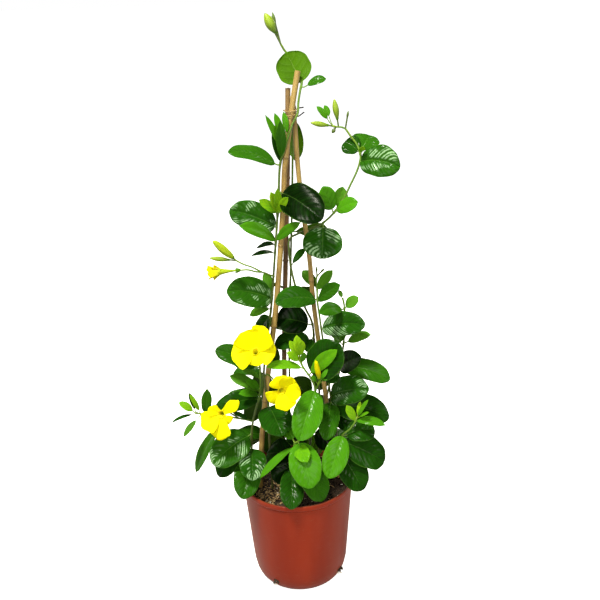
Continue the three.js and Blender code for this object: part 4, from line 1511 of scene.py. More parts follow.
@dataclass(frozen=True)
class Bloom:
    """An open funnel flower, with five lobes that overlap like a pinwheel's."""

    node: str
    throat: Place
    foot: Place
    lobes: tuple[tuple[float, float, float, float], ...]
    ripeness: float = 1.0
    throat_radius: float = 5.2
    thickness: float = 0.5
    sides: int = 40
    lobe_grid: tuple[int, int] = (18, 17)
    tube: Pairs = (
        (0.0, 0.6), (0.02, 1.0), (0.2, 1.3), (0.42, 2.2), (0.62, 3.3), (0.8, 4.4), (0.92, 5.4),
        (1.0, 6.3), (1.035, 7.2),
    )
    widths: Pairs = (
        (0.25, 0.78), (0.5, 1.06), (0.7, 1.16), (0.85, 1.08), (0.95, 0.86), (1, 0.64),
    )

    def _axes(self) -> tuple[Point, Point, Point, Point]:
        """Gives the throat's middle, the axis, and two directions across it.

        Returns:
            The four.
        """
        mouth = seen(*self.throat)
        axis = unit(mouth - seen(*self.foot))
        right = unit(np.cross((0, 0, 1), axis))
        return mouth, axis, right, np.cross(axis, right)

    def _funnel(self, draft: Draft) -> None:
        """Lays the tube and throat.

        Args:
            draft: What they are added to.
        """
        mouth, _, right, up = self._axes()
        end = seen(*self.foot)
        rings, charts = [], []
        scale = self.throat_radius / 6.5
        for share, radius in self.tube:
            reach = radius * (scale if share > 0.3 else 1.0)
            ring = []
            for k in range(self.sides):
                angle = FULL_TURN * k / self.sides
                ribbed = reach * (1 + 0.05 * cos(5 * angle) * share)
                ring.append(end + (mouth - end) * share + around(right, up, angle) * ribbed)
            rings.append(ring)
            charts.append([(k / 8, share * 0.42 * self.ripeness) for k in range(self.sides)])
        draft.grid(np.array(rings), wrap=True, chart=np.array(charts))

    def _lobe(self, draft: Draft, lobe: Lobe, seed: float) -> None:
        """Lays one lobe.

        Args:
            draft: What it is added to.
            lobe: The lobe.
            seed: A number that sets its waves.
        """
        mouth, axis, right, up = self._axes()
        rows, columns = self.lobe_grid
        inner = self.throat_radius * 0.86
        half = lobe.width / 2
        spread = (lobe.before + lobe.after) / 4 * 1.2
        first = inner * sin(spread) / half
        stations, widths = zip((0, first), *self.widths)
        widths = (first, max(first, widths[1]), *widths[2:])
        points, charts = np.zeros((rows, columns, 3)), np.zeros((rows, columns, 2))
        out = around(right, up, lobe.angle)
        sideways = np.cross(axis, out)
        for row in range(rows):
            t = row / (rows - 1)
            wide = float(np.interp(t, stations, widths))
            near = 0.4 + 0.6 * t
            for column in range(columns):
                s = 2 * column / (columns - 1) - 1
                arc = inner * (cos(spread * s) - 1) * max(0.0, 1 - 4 * t)
                length = inner + (lobe.radius * 1.02 - inner) * t
                length *= 1 - (0.05 + 0.13 * t) * abs(s) ** 2.3 * min(1, 3 * t)
                skew = 0.1 * half * t * t
                rise = lobe.height * t - 1.2 * (1 - t) - 0.9 * (1 - min(1, 4 * t))
                rise += 1.3 * sin(pi * t) - 1.6 * t**4 + 0.75 * s * min(1, 3 * t)
                rise += 0.9 * sin(5.2 * s + 6.3 * seed) * t * t
                rise -= 0.9 * (1 - abs(s)) ** 3 * sin(pi * min(1, 1.15 * t))
                across = s * half * wide + skew
                spot = mouth + out * (length + arc) + sideways * across + axis * rise
                points[row, column] = spot
                charts[row, column] = (s * near + seed * 9, near * self.ripeness)
        draft.grid(points, chart=charts)

    def build(self) -> None:
        """Builds the flower as one piece."""
        mouth, axis, right, up = self._axes()
        lobes = []
        for x, z, depth, width in self.lobes:
            reach = seen(x, z, depth) - mouth
            across, rise = float(reach @ right), float(reach @ up)
            angle, radius = atan2(rise, across), hypot(across, rise)
            lobes.append(Lobe(angle, radius, float(reach @ axis), width))
        lobes.sort(key=lambda lobe: lobe.angle)
        draw = random.Random(len(self.node) * 7 + int(abs(self.throat[0])))
        draft = Draft()
        self._funnel(draft)
        for k, lobe in enumerate(lobes):
            lobe.after = (lobes[(k + 1) % 5].angle - lobe.angle) % FULL_TURN
            lobe.before = (lobe.angle - lobes[k - 1].angle) % FULL_TURN
            self._lobe(draft, lobe, draw.random())
        mesh = draft.mesh(self.node, WORKSHOP["petal"], self.thickness)
        place(mesh, f"bloom_{self.node}", self.node)


@dataclass(frozen=True)
class PlumpBud:
    """A bud about to open, its petals rolled one over the other."""

    node: str
    foot: Place
    tip: Place
    thickness: float
    ripeness: float
    grid: tuple[int, int] = (30, 40)

    def build(self) -> None:
        """Builds the bud as one piece."""
        foot, tip = seen(*self.foot), seen(*self.tip)
        axis = unit(tip - foot)
        first = unit(np.cross(axis, (0.2, 0.9, 0.1)))
        second = np.cross(axis, first)
        rows, columns = self.grid
        points, charts = np.zeros((rows, columns, 3)), np.zeros((rows, columns, 2))
        for row in range(rows):
            t = row / (rows - 1)
            girth = self.thickness / 2 * swelling(0.08 + 0.87 * t) * min(1, (1 - t) * 12 + 0.02)
            girth *= min(1.0, t * 20 + 0.05)
            for column in range(columns):
                angle = FULL_TURN * column / columns
                fold = (5 * angle / FULL_TURN + 1.1 * t) % 1
                ridge = 1 + 0.16 * (fold - 0.5) * sin(pi * t) ** 0.5
                out = around(first, second, angle)
                points[row, column] = foot + (tip - foot) * t + out * girth * ridge
                charts[row, column] = (column / 8, 0.08 + 0.92 * min(1.0, t * 1.9) * self.ripeness)
        draft = Draft()
        draft.grid(points, wrap=True, chart=charts)
        draft.grid(points[:1] * 0 + points[:1].mean(axis=1, keepdims=True), wrap=True)
        mesh = draft.mesh(self.node, WORKSHOP["petal"])
        place(mesh, f"bloom_{self.node}", self.node)


@dataclass(frozen=True)
class Cane:
    """A bamboo cane, with its radius and the line that it follows from the soil up."""

    node: str
    radius: float
    line: tuple[Place, ...]
    finish: str = "bamboo"
    foot: float = 95
    spacing: float = 118
    offset: float = 30
    sides: int = 20

    def path(self) -> np.ndarray:
        """Gives the cane's middle line, from its buried foot up.

        Returns:
            The line's points.
        """
        points = [seen(*p) for p in self.line]
        lean = unit(points[1] - points[0])
        start = points[0] + lean * (self.foot - points[0][2]) / lean[2]
        return smooth_path([start, *points], 14)

    def build(self) -> None:
        """Builds the cane as one piece."""
        bar = Bar(
            self.radius, self.sides, 1.2, self.spacing, 0.2, 1.7, self.finish, self.offset, 0.1
        )
        mesh = bar.along(self.node, self.path())
        place(mesh, f"bamboo_{self.node}", self.node)


@dataclass(frozen=True)
class Tie:
    """The paper-covered wire that holds the canes together, wound round them twice."""

    canes: tuple[Cane, ...]
    height: float = 701
    pitch: float = 5
    turns: int = 2
    steps: int = 14
    start_angle: float = 0.2
    radius: float = 0.8
    gap: float = 0.5
    tail: Pair = (8, 1)
    tail_rise: Pair = (5, 1)
    swell: float = 1.12

    def path(self) -> np.ndarray:
        """Gives the wire's middle line.

        Returns:
            The line's points.
        """
        belts = [(cane.radius, cane.path()) for cane in self.canes]
        points = []
        for k in range(self.turns * self.steps + 1):
            turns = k / self.steps
            angle = self.start_angle + turns * 2 * pi
            height = self.height + self.pitch * turns
            out = np.array((cos(angle), sin(angle), 0.0))
            centres = []
            for radius, path in belts:
                at = [float(np.interp(height, path[:, 2], path[:, axis])) for axis in (0, 1)]
                centre = np.array((*at, height))
                centres.append((float(centre @ out) + radius, radius, centre))
            _, radius, centre = max(centres, key=lambda item: item[0])
            points.append(centre + out * (radius * self.swell + self.radius + self.gap))
        first = points[0] + (*self.tail, self.tail_rise[0])
        last = points[-1] + (*self.tail, self.tail_rise[1])
        return smooth_path([first, *points, last], 5)

    def build(self) -> None:
        """Builds the tie as one piece."""
        mesh = Bar(self.radius, 8, 0.8, 2.4, 0.12, 0.8, "wire").along("tie", self.path())
        place(mesh, "wire_tie", "tie")


@dataclass(frozen=True)
class Pot:
    """The plastic nursery pot: a turned wall, a rim band and a rounded foot with drain holes."""

    height: float = 170
    rim_radius: float = 85
    foot_radius: float = 71
    foot_height: float = 18
    wall: float = 1.8
    floor: float = 2.4
    band_height: float = 8
    band_step: float = 2.4
    drain_radius: float = 5
    drain_length: float = 22
    drain_angles: tuple[float, ...] = (-33, 56, 142, 240)
    drain_height: float = 18
    drain_reach: float = 68
    drain_dip: float = -0.3
    groove: Pair = (0.8, 1.2)
    sides: int = 160
    foot: Pairs = (
        (52, 0), (56, 0.3), (60, 1.8), (63.4, 4.4), (66, 8), (68, 12), (69.6, 16.6), (71.7, 27),
    )
    band: Pairs = (
        (-2.1, 161.4), (-1.0, 161.5), (-0.5, 162.0), (-0.3, 163.5), (-0.05, 167.5), (0, 168.9),
        (-0.3, 169.6), (-0.9, 170), (-2.0, 170), (-2.5, 169.7), (-2.8, 169.0),
    )

    def outline(self) -> list[Pair]:
        """Gives the outer side's points (radius, height), from the base to under the band.

        Returns:
            The points.
        """
        low, high = self.foot_height, self.height - self.band_height
        bottom, top = self.foot_radius, self.rim_radius - self.band_step
        shares = (0.25, 0.5, 0.75, 0.93)
        wall = [(bottom + (top - bottom) * s, low + (high - low) * s) for s in shares]
        deep, tall = self.groove
        groove = [(top, high - 2 * tall), (top - deep, high - 1.6 * tall), (top - deep, high)]
        return [*self.foot, *wall, *groove]

    def holes(self) -> list[tuple[Point, Point]]:
        """Gives each drain hole's middle and the way out of it.

        Returns:
            The pairs.
        """
        found = []
        for angle in self.drain_angles:
            way = radians(angle)
            out = np.array((sin(way), -cos(way), self.drain_dip))
            centre = out * (self.drain_reach, self.drain_reach, 0) + (0, 0, self.drain_height)
            found.append((centre, unit(out)))
        return found

    def _drill(self, centre: Point, out: Point) -> Object:
        """Makes the round bar that cuts a drain hole.

        Args:
            centre: The hole's middle.
            out: The way out of it.

        Returns:
            The bar.
        """
        turn = Vector((0, 0, 1)).rotation_difference(Vector(out)).to_matrix().to_4x4()
        work = bmesh.new()
        radius, middle = self.drain_radius * MM, Vector((centre + out * 3) * MM)
        bmesh.ops.create_cone(
            work, cap_ends=True, segments=28, radius1=radius, radius2=radius,
            depth=self.drain_length * MM, matrix=Matrix.Translation(middle) @ turn,
        )
        shape = bpy.data.meshes.new("drain")
        work.to_mesh(shape)
        work.free()
        return set_out("drain", shape)

    def build(self) -> None:
        """Builds the pot as one piece."""
        outer = self.outline()
        band = [(self.rim_radius + out, z) for out, z in self.band]
        inner = [(r - self.wall, max(z, self.floor)) for r, z in reversed(outer)]
        profile = [(0.0, 0.0), *outer, *band, *inner, (0.0, self.floor)]
        angles = np.linspace(0, FULL_TURN, self.sides, endpoint=False)
        rows = [[(r * sin(a), -r * cos(a), z) for a in angles] for r, z in profile]
        draft = Draft()
        draft.grid(np.array(rows), wrap=True)
        body = set_out("pot body", draft.mesh("pot", WORKSHOP["plastic"]))
        cutters = [self._drill(centre, out) for centre, out in self.holes()]
        for cutter in cutters:
            cut = body.modifiers.new("drain", "BOOLEAN")
            cut.operation = "DIFFERENCE"
            cut.solver = "EXACT"
            cut.object = cutter
        finished = baked(body)
        for cutter in cutters:
            bpy.data.objects.remove(cutter)
        finished.shade_smooth()
        finished.set_sharp_from_angle(angle=radians(40))
        place(finished, "nursery_pot", "pot")


@dataclass(frozen=True)
class Soil:
    """The soil: a heaped body of peat, strewn with crumbs, bark chips and grit.

    The patch is where pale fibres lie. Densities are for a square metre.
    """

    pot: Pot
    top: float = SOIL_TOP
    heap: float = 3
    gap: float = 0.3
    base: float = 2.9
    columns: int = 144
    top_rows: int = 56
    patch: Pair = (-38, -27)
    patch_reach: float = 31
    crumb_density: float = 190000.0
    chip_density: float = 130000.0
    crumb_size: float = 2.6
    chip_length: float = 9.0

    def _edge(self, height: float) -> float:
        """Gives the soil's radius at a height."""
        radii, heights = zip(*self.pot.outline())
        return float(np.interp(height, heights, radii)) - self.pot.wall - self.gap

    def _body(self) -> Object:
        """Makes the body, with a rough top.

        Returns:
            The body.
        """
        angles = np.linspace(0, FULL_TURN, self.columns, endpoint=False)
        draw = np.random.default_rng(11).uniform
        waves = [(draw(0.05, 0.5, 2), draw(0, 6.3), draw(0.1, 0.5)) for _ in range(26)]
        rows = [[(0, 0, self.base)] * self.columns]
        for height in (self.base, 6, 12, 18, 80, 140, self.top - 1):
            radius = self._edge(height)
            rows.append([(radius * sin(a), -radius * cos(a), height) for a in angles])
        edge = self._edge(self.top)
        for share in np.linspace(1, 0, self.top_rows):
            row = []
            for a in angles:
                x, y = edge * share * sin(a), -edge * share * cos(a)
                rough = sum(h * sin(k[0] * x + k[1] * y + p) for k, p, h in waves) * 0.55
                lift = self.heap * min(1.0, (1 - share) / 0.3)
                fade = min(1.0, (1 - share) * 12)
                row.append((x, y, self.top + lift + rough * fade * min(1.0, share * 6)))
            rows.append(row)
        draft = Draft()
        draft.grid(np.array(rows), wrap=True)
        mesh = draft.mesh("soil body", WORKSHOP["peat"])
        places = np.zeros(len(mesh.vertices) * 3)
        mesh.vertices.foreach_get("co", places)
        x, y, z = (places.reshape(-1, 3) / MM).T
        away = np.hypot(x - self.patch[0], y - self.patch[1]) / self.patch_reach
        away += 0.25 * np.sin(x * 0.31) * np.cos(y * 0.37)
        hold(mesh, "strewn", (z > self.top - 0.5) & (np.hypot(x, y) < edge - 1))
        hold(mesh, "fibrous", np.clip(1.25 - away, 0, 1) ** 0.7)
        return set_out("soil body", mesh)

    def _rootlets(self) -> Mesh:
        """Makes the rootlets and crumbs of peat that show in the drain holes.

        Returns:
            Their mesh.
        """
        draw = random.Random(5).uniform
        meshes = []
        for centre, out in self.pot.holes():
            level = unit(np.cross(out, (0, 0, 1)))
            for k in range(10):
                earthy = k < 5
                start = centre + out * 1.2 + level * draw(-5.5, 5.5)
                start[2] += draw(0, 4) if earthy else draw(-4, 1)
                bend = np.array([draw(-1.8, 1.8) for _ in range(3)])
                end = start + out * draw(2.5, 5.5) + bend
                end[2] = max(1.4, end[2])
                middle = (start + end) / 2 + bend * 0.4
                points = smooth_path([start - out * 3, start, middle, end], 4)
                radius = draw(1.4, 2.1) if earthy else draw(0.6, 1.0)
                finish = "peat" if earthy else "rootlet"
                bar = Bar(radius, 6, 0.6, 1.9, 0.3, 0.6, finish, taper=0.6)
                meshes.append(bar.along("rootlet", points))
        return joined(meshes, "rootlets")

    def build(self) -> None:
        """Builds the soil as one piece."""
        values = {"Crumb Density": self.crumb_density, "Chip Density": self.chip_density}
        values |= {"Crumb Size": self.crumb_size * MM, "Chip Length": self.chip_length * MM}
        values |= {"Seed": 4, "Ground": WORKSHOP["peat"]}
        values |= {"Chip": WORKSHOP["chip"], "Grit": WORKSHOP["grit"]}
        mesh = WORKSHOP["crumbs"].grow(self._body(), values)
        place(joined([mesh, self._rootlets()], "soil"), "potting_soil", "soil")


@dataclass(frozen=True)
class Lamp:
    """A soft light, with its place, aim and size in metres and its power in watts."""

    name: str
    at: Place
    aim: Place
    size: Pair
    power: float

    def build(self, colour: Colour) -> None:
        """Sets up the light.

        Args:
            colour: Its colour.
        """
        data = bpy.data.lights.new(self.name, "AREA")
        data.shape = "RECTANGLE"
        data.size, data.size_y = self.size
        data.energy = self.power
        data.color = colour
        light = set_out(self.name, data)
        light.location = self.at
        light.rotation_mode = "QUATERNION"
        light.rotation_quaternion = (Vector(self.aim) - Vector(self.at)).to_track_quat("-Z", "Y")


@dataclass(frozen=True)
class Studio:
    """A white floor, soft lights and the camera."""

    floor_reach: float = 60.0
    floor_drop: float = 0.0004
    surround: float = 0.09
    bounce: float = 0.14
    warmth: Colour = (1.0, 0.97, 0.84)
    lamps: tuple[Lamp, ...] = (
        Lamp("key", (-0.45, -0.75, 2.2), (0, 0, 0.38), (0.22, 0.3), 58),
        Lamp("fill", (1.3, -1.25, 1.2), (0, 0, 0.38), (0.4, 1.2), 16),
        Lamp("front", (-0.6, -1.9, 1.1), (0, 0, 0.38), (1.2, 1.2), 27),
        Lamp("left rim", (-1.4, 0.75, 0.5), (0, 0, 0.3), (0.5, 1.3), 7),
        Lamp("right rim", (1.4, 0.75, 0.5), (0, 0, 0.3), (0.5, 1.3), 7),
        Lamp("back", (0.3, 1.7, 1.4), (0, 0, 0.35), (1.0, 1.0), 18),
    )

    def _camera(self) -> None:
        """Sets the camera where the viewer stands."""
        data = bpy.data.cameras.new("camera")
        data.sensor_width = 36
        data.lens = VIEW_LENS
        data.clip_end = 500
        camera = set_out("camera", data)
        right = Vector((1, 0, 0))
        up = Vector((0, sin(VIEW_DOWN), cos(VIEW_DOWN)))
        forward = Vector((0, cos(VIEW_DOWN), -sin(VIEW_DOWN)))
        turn, lean = cos(VIEW_ROLL), sin(VIEW_ROLL)
        axes = (right * turn + up * lean, up * turn - right * lean, -forward)
        matrix = Matrix(axes).transposed().to_4x4()
        matrix.translation = Vector(VIEWER * MM)
        camera.matrix_world = matrix
        bpy.context.scene.camera = camera

    def _floor(self) -> None:
        """Lays the floor."""
        mesh = bpy.data.meshes.new("floor")
        reach = self.floor_reach
        corners = [(-reach, -reach, 0), (reach, -reach, 0), (reach, reach, 0), (-reach, reach, 0)]
        mesh.from_pydata(corners, [], [(0, 1, 2, 3)])
        floor = set_out("floor", mesh)
        floor.location.z = -self.floor_drop
        skin = SkinRecipe("floor")
        grain = skin.noise(skin.where, 30, 2)
        path = skin.add("ShaderNodeLightPath")
        direct = skin.out(path, "Is Camera Ray")
        mirrored = skin.out(path, "Is Glossy Ray")
        pale = skin.mix(grain, (0.90, 0.90, 0.89), (0.94, 0.94, 0.94))
        colour = skin.mix(direct + mirrored * 0.4, (self.bounce,) * 3, pale)
        skin.finish(base_color=colour, roughness=0.9, emission_color=(1, 1, 1))
        away = skin.reckon("LENGTH", skin.where).rise(0.3, 2)
        skin.feed(skin.shader.inputs["Emission Strength"], direct * (away * 0.2 + 0.85))
        mesh.materials.append(skin.material)

    def _world(self) -> None:
        """Makes the surround, white to the camera and softer as a light."""
        world = bpy.data.worlds.new("surround")
        world.use_nodes = True
        bpy.context.scene.world = world
        recipe = Recipe(world.node_tree)
        background = world.node_tree.nodes["Background"]
        path = recipe.out(recipe.add("ShaderNodeLightPath"), "Is Camera Ray")
        recipe.feed(background.inputs["Color"], (1, 1, 1))
        recipe.feed(background.inputs["Strength"], path * (1 - self.surround) + self.surround)

    def build(self) -> None:
        """Builds the camera, the floor, the surround and the lights."""
        bpy.context.scene.view_settings.view_transform = "Standard"
        self._camera()
        self._floor()
        self._world()
        for lamp in self.lamps:
            lamp.build(self.warmth)


SHOOTS = (
    Shoot("stem_left_climber", (-38, -17), (
        Branch(1.7, (
            (-39.5, 215, -17), (-39, 265, -17), (-38, 290, -15), (-40, 310, -15.5),
            (-42, 330, -13.5), (-41, 350, -9), (-33, 400, -8), (-24.6, 455, -7), (-19.6, 500, -7),
            (-14.6, 545, -7), (-9.2, 595, -7), (-5, 641, -8), (0.5, 658, -12.5), (6.5, 675, -13.5),
            (13, 692, -13), (20, 705, -10.5), (21.4, 718, -6.5), (24, 732, -5), (26.5, 742, -3),
            (27.5, 752, 5.5), (20, 768, 15), (8, 780, 17), (2.5, 789, 14),
        ), leaves(
            (UNDER, 26.5, 741, 9, 779, 8, 42, 180, 3), (UNDER, 25.5, 737, 57, 746, -8, 13, 35, 9),
            (LIGHT, 0, 657, -21, 705, -32, 8, 20), (LIGHT, 3, 665, -9, 707, -22, 10, 10),
            (LIGHT, 6, 674, 2, 708, -10, 8, 20), (DARK, -4, 643, -11, 692, -13, 16, 30, 3),
            (MID, -3, 647, -3, 697, -30, 13, 15, 3), (MID, -5.2, 639, -71, 660, -34, 24, 40, 8),
            (DEEP, -8, 606, 47, 565, -56, 46, 8, 8), (YOUNG, -11, 574, -35, 596, -26, 13, 15, 3),
            (YOUNG, -11, 575, -19, 606, -24, 11, 20, 3),
            (YOUNG, -11, 576, -10, 610, -30, 11, 15, 3), (YOUNG, -11, 574, 4, 598, -42, 11, 15, 3),
            (STREAK, -14, 557, -74, 584, -24, 37, 5, 3),
            (LIGHT, -14, 541, -63, 561, -54, 19, 25, 2),
            (LIGHT, -14, 541, 19, 563, -46, 13, 10, 2), (DARK, -16, 531, -42, 529, 12, 14, 65, 3),
            (DARK, -17, 522, -50, 518, 2, 13, 65, 3), (OLIVE, -22, 462, -33, 495, 4, 15, 20, 3),
            (STREAK, -25, 454, -86, 470, -46, 40, 12, 2),
            (OLIVE, -26, 441, -57, 431, -8, 14, 35, 3), (DARK, -28, 436, -45, 402, 6, 24, 35),
            (DARK, -38, 290, -20, 236, -64, 45, 8, 5),
        ), buds(
            (2.5, 789, -15, 825, 8, 12, 26), (2.5, 789, -8, 822, 14, 5, 22),
            (2.5, 789, -6, 826, 20, 4, 16),
        )),
        Branch(1.1, (
            (-19.8, 488, -8), (-27, 491, -14), (-36, 495, -22), (-50, 503, -30), (-60, 507, -34),
            (-70, 513, -37), (-73.1, 516.2, -39.35),
        ), buds=buds((-70, 513, -106, 518, -50, 6.5, 28))),
        Branch(1, ((-36, 495, -22), (-45, 496, -30), (-55, 499, -38), (-65.5, 499, -42.85))),
        Branch(1.1, (
            (-41.5, 335, -12.5), (-38, 339, -20), (-31, 334, -30), (-26.2, 324.3, -37.5),
        )),
    ), feet=(
        (-73.1, 516.2, -39.35, -100, 542.5, -50, 7), (-65.5, 499, -42.85, -95, 498, -50, 8),
        (-26.2, 324.3, -37.5, -18, 311.5, -60, 8),
    )),
    Shoot("stem_right_climber", (30, 18), (
        Branch(1.6, (
            (34, 215, 20), (37, 300, 17), (32, 385, 13), (29.5, 418, 10), (22, 437, 7),
            (9, 471, 3), (3.5, 500, 1), (2, 520, 1), (3.5, 541, 2), (14, 547, 7), (25, 551, 14),
            (35, 555, 8), (47, 560, -6), (63, 574, -12), (76, 592, -14), (85, 610, -16),
            (95, 631, -17), (99, 648, -17), (95, 662, -13), (86, 675, -12), (80, 684, -12),
        ), leaves(
            (DARK, 3, 503, 24, 526, 4, 13, 45, 5), (STREAK, 49, 561, 46, 511, -28, 50, 0),
            (LIGHT, 63, 574, 49, 610, -26, 23, 10), (OLIVE, 65, 578, 75, 609, -6, 20, 25, 5),
            (LIGHT, 64, 575, 95, 588, -26, 20, 20, 3), (DARK, 98, 653, 79, 667, -4, 26, 20, 3),
            (MID, 99, 651, 111, 674, 2, 34, 20), (STREAK, 97.4, 641, 150, 632, -40, 38, 5, 1),
            (YOUNG, 99, 650, 101, 661, -31, 9, 20), (DEEP, 29.5, 415, -21, 424, 10, 40, 12),
            (DARK, 31, 400, 21, 372, 0, 16, 30), (DARK, 32, 392, -24, 384, 12, 28, 30),
        ), buds((80, 684, 84, 706, -14, 3, 10))),
        Branch(0.9, (
            (80, 684, -12), (75, 686, -13), (70, 686.5, -14), (63, 688, -16),
        ), leaves(
            (LIGHT, 66, 687, 44, 713, -24, 8, 20, 14), (LIGHT, 65, 687, 54, 714, -12, 8, 20, 14),
        ), buds(
            (64, 688, 36, 693, -24, 7, 24), (68, 687, 63, 679, -14, 5, 7),
            (71, 686, 66.5, 721, -18, 8, 26),
        )),
    )),
    Shoot("stem_left", (-66, -12), (
        Branch(1.7, (
            (-67, 200, -16), (-65, 243, -18), (-62, 262, -17), (-56, 285, -15), (-50.5, 302, -14),
            (-48, 318, -12.5), (-47, 335, -11), (-47, 352, -11), (-47.5, 360, -18),
            (-47.97, 363.7, -23.6),
        ), leaves(
            (STREAK, -65, 243, -127, 192, -52, 46, 10), (DARK, -65, 236, -120, 171, -28, 36, 25),
            (STREAK, -66, 222, -69, 160, -68, 38, 10), (GLOSS, -67, 205, -86, 127, -74, 38, 10),
            (DARK, -50.5, 299, -117, 283, -26, 27, 15, 3),
            (LIGHT, -50, 307, -80, 309, -36, 13, 35, 2),
            (OLIVE, -48.5, 312, -91, 339, -6, 19, 30, 2),
            (LIGHT, -48, 316, -68, 331, -26, 12, 20, 3),
            (OLIVE, -47, 333, -86, 359, -22, 12, 30, 3),
            (STREAK, -47, 351, -108, 381, -10, 28, 15),
        )),
        Branch(1.2, (
            (-62, 263, -17), (-80, 268, -22), (-104, 273, -28), (-128, 277, -32), (-146, 281, -34),
        ), leaves(
            (YOUNG, -143, 280.4, -168, 299, -40, 11, 15), (DARK, -144, 281, -152, 314, -32, 8, 30),
            (YOUNG, -138, 279, -151, 312, -42, 7, 10),
            (MID, -131, 277.5, -125, 320, -38, 15, 5, 3),
            (DARK, -64, 263, -91, 279, -30, 8, 30, 8), (DARK, -144, 281, -181, 266, -36, 5, 30),
            (OLIVE, -136, 279, -166, 241, -44, 9, 20, 12),
            (MID, -104, 273, -153, 179, -18, 22, 45, 26),
        )),
        Branch(1, (
            (-82, 268.6, -22.5), (-90, 275, -26), (-97, 280, -31), (-100.76, 281.1, -37.6),
        )),
    ), feet=(
        (-47.97, 363.7, -23.6, -52, 376, -42, 8), (-100.76, 281.1, -37.6, -108, 277, -56, 8),
    )),
    Shoot("stem_front_right", (16, -20), (
        Branch(1.6, (
            (20, 215, -25), (27, 260, -26), (31, 300, -26), (30, 318, -26), (25, 331, -24),
            (19, 341, -23), (14, 350, -22), (9, 366, -20),
        ), leaves(
            (BRIGHT, 30, 312, 5, 227, -74, 39, 8, 3), (DARK, 25, 331, 68, 383, -44, 50, 12),
            (FRESH, 22, 336, 64, 374, -52, 19, 8), (FRESH, 15, 347, -38, 350, -50, 16, 35, 4),
            (CRINKLED, 10, 360, 7, 399, -26, 13, 15, 8),
            (CRINKLED, 10, 360, -3, 391, -28, 11, 15, 8),
            (CRINKLED, 11, 358, -8, 372, -34, 12, 20, 5), (OLIVE, 13, 354, 17, 372, -24, 9, 25, 4),
            (CRINKLED, 10, 361, 14, 391, -34, 12, 15, 8), (DEEP, 22, 225, -14, 236, -22, 34, 30),
            (DEEP, 25, 245, 56, 215, -20, 34, 20),
        )),
        Branch(1, (
            (31, 308, -26), (34, 316, -40), (36.5, 322, -46), (37.55, 327, -49.8),
        ), leaves(
            (LIGHT, 36.5, 322, 50, 344, -44, 6, 10), (LIGHT, 36, 321, 56, 336, -40, 8, 20),
            (LIGHT, 35, 320, 27, 334, -50, 6, 20),
        )),
    ), feet=((37.55, 327, -49.8, 33, 359, -64, 6),)),
    Shoot("stem_low_right", (40, -24), (
        Branch(1.5, (
            (50, 180, -34), (62, 212, -42), (71, 235, -48), (80, 243, -50), (88, 255, -50),
            (91, 264, -49),
        ), leaves(
            (BRIGHT, 68, 233, 47, 159, -84, 33, 5, 2), (YOUNG, 88, 256, 76, 284, -54, 12, 10, 3),
            (YOUNG, 90, 261, 96, 289, -42, 6, 20), (FRESH, 90, 261, 108, 292, -62, 6, 20),
            (FRESH, 90, 262, 109, 270, -62, 5, 30), (LIGHT, 89, 257, 133, 247, -60, 14, 30, 2),
            (DARK, 62, 213, 99, 135, -62, 40, 15), (DARK, 66, 223, 131, 184, -44, 44, 10),
            (DARK, 70, 232, 117, 240, -36, 34, 20),
        )),
    )),
    Shoot("stem_low_front", (-8, -28), (
        Branch(1.5, (
            (-8, 180, -40), (-4, 205, -48), (-2, 222, -52), (4, 226, -56),
        ), leaves(
            (FRESH, -3, 223, 16, 189, -84, 21, 5), (BRIGHT, 4, 224, 20, 142, -92, 42, 5, 3),
            (LIGHT, -3, 224, -14, 252, -40, 20, 20), (LIGHT, -4, 216, -57, 163, -70, 14, 40, 3),
            (DARK, -8, 185, -12, 104, -94, 33, 10), (MID, -3, 212, 38, 119, -70, 42, 20),
            (DEEP, -6, 198, -44, 206, -26, 42, 20, 4), (DEEP, -8, 184, -38, 162, -46, 34, 15, 4),
        )),
    )),
    Shoot("stem_cane_right", (70, 4), (
        Branch(1.6, (
            (62.5, 200, 4), (56, 270, 5), (50, 330, 5), (44, 390, 3), (40.5, 425, 1), (38, 450, 2),
            (38, 468, 12), (37, 480, 14), (39, 488, 13),
        ), leaves(
            (STREAK, 53, 302, 109, 309, -46, 40, 12, 2), (MID, 53, 294, 44, 226, -48, 30, 10, 5),
            (DARK, 55, 288, 138, 260, -14, 42, 12), (DARK, 57, 265, 88, 244, -8, 26, 20),
            (STREAK, 42, 410, 104, 411, -38, 33, 5, 3), (GLOSS, 38, 452, -20, 449, -28, 30, 25, 4),
            (MID, 37.5, 451, 70, 472, -24, 20, 25, 2), (OLIVE, 38, 468, 19, 495, 28, 16, 15, 4),
            (OLIVE, 38, 466, 60, 494, 6, 15, 15, 2),
        ), buds((39, 486, 38, 500, 13, 3, 9), (39, 486, 49, 497, 12, 3, 9))),
    )),
    Shoot("stem_mid_right", (54, 24), (
        Branch(1.5, (
            (60, 215, 18), (62, 300, 16), (67, 345, 6), (73, 381, -6), (75, 412, -10),
            (75, 440, -10), (73, 453, -8),
        ), leaves(
            (OLIVE, 74, 446, 68, 464, -2, 7, 30), (OLIVE, 75, 437, 95, 453, -12, 16, 20, 3),
            (MID, 75, 438, 39, 431, -50, 19, 15), (OLIVE, 73, 383, 112, 395, -22, 17, 35),
            (OLIVE, 73, 381, 54, 402, -10, 10, 40), (MID, 73, 385, 72, 404, -20, 7, 10),
            (MID, 68, 350, 139, 323, -22, 30, 15), (DEEP, 67, 343, 98, 362, -44, 29, 15, 3),
            (DARK, 65, 338, 48, 323, -16, 22, 15),
        )),
    )),
    Shoot("stem_back_left", (-32, 32), (
        Branch(1.6, (
            (-37, 215, 36), (-44, 250, 40), (-46, 300, 38), (-41, 350, 32), (-35, 390, 27),
        ), leaves(
            (MID, -42, 240, -108, 228, 46, 42, 60), (MID, -40, 232, -84, 216, 62, 40, 110),
            (DARK, -44, 256, -32, 206, 10, 34, 165), (MID, -46, 298, -100, 300, 44, 36, 60),
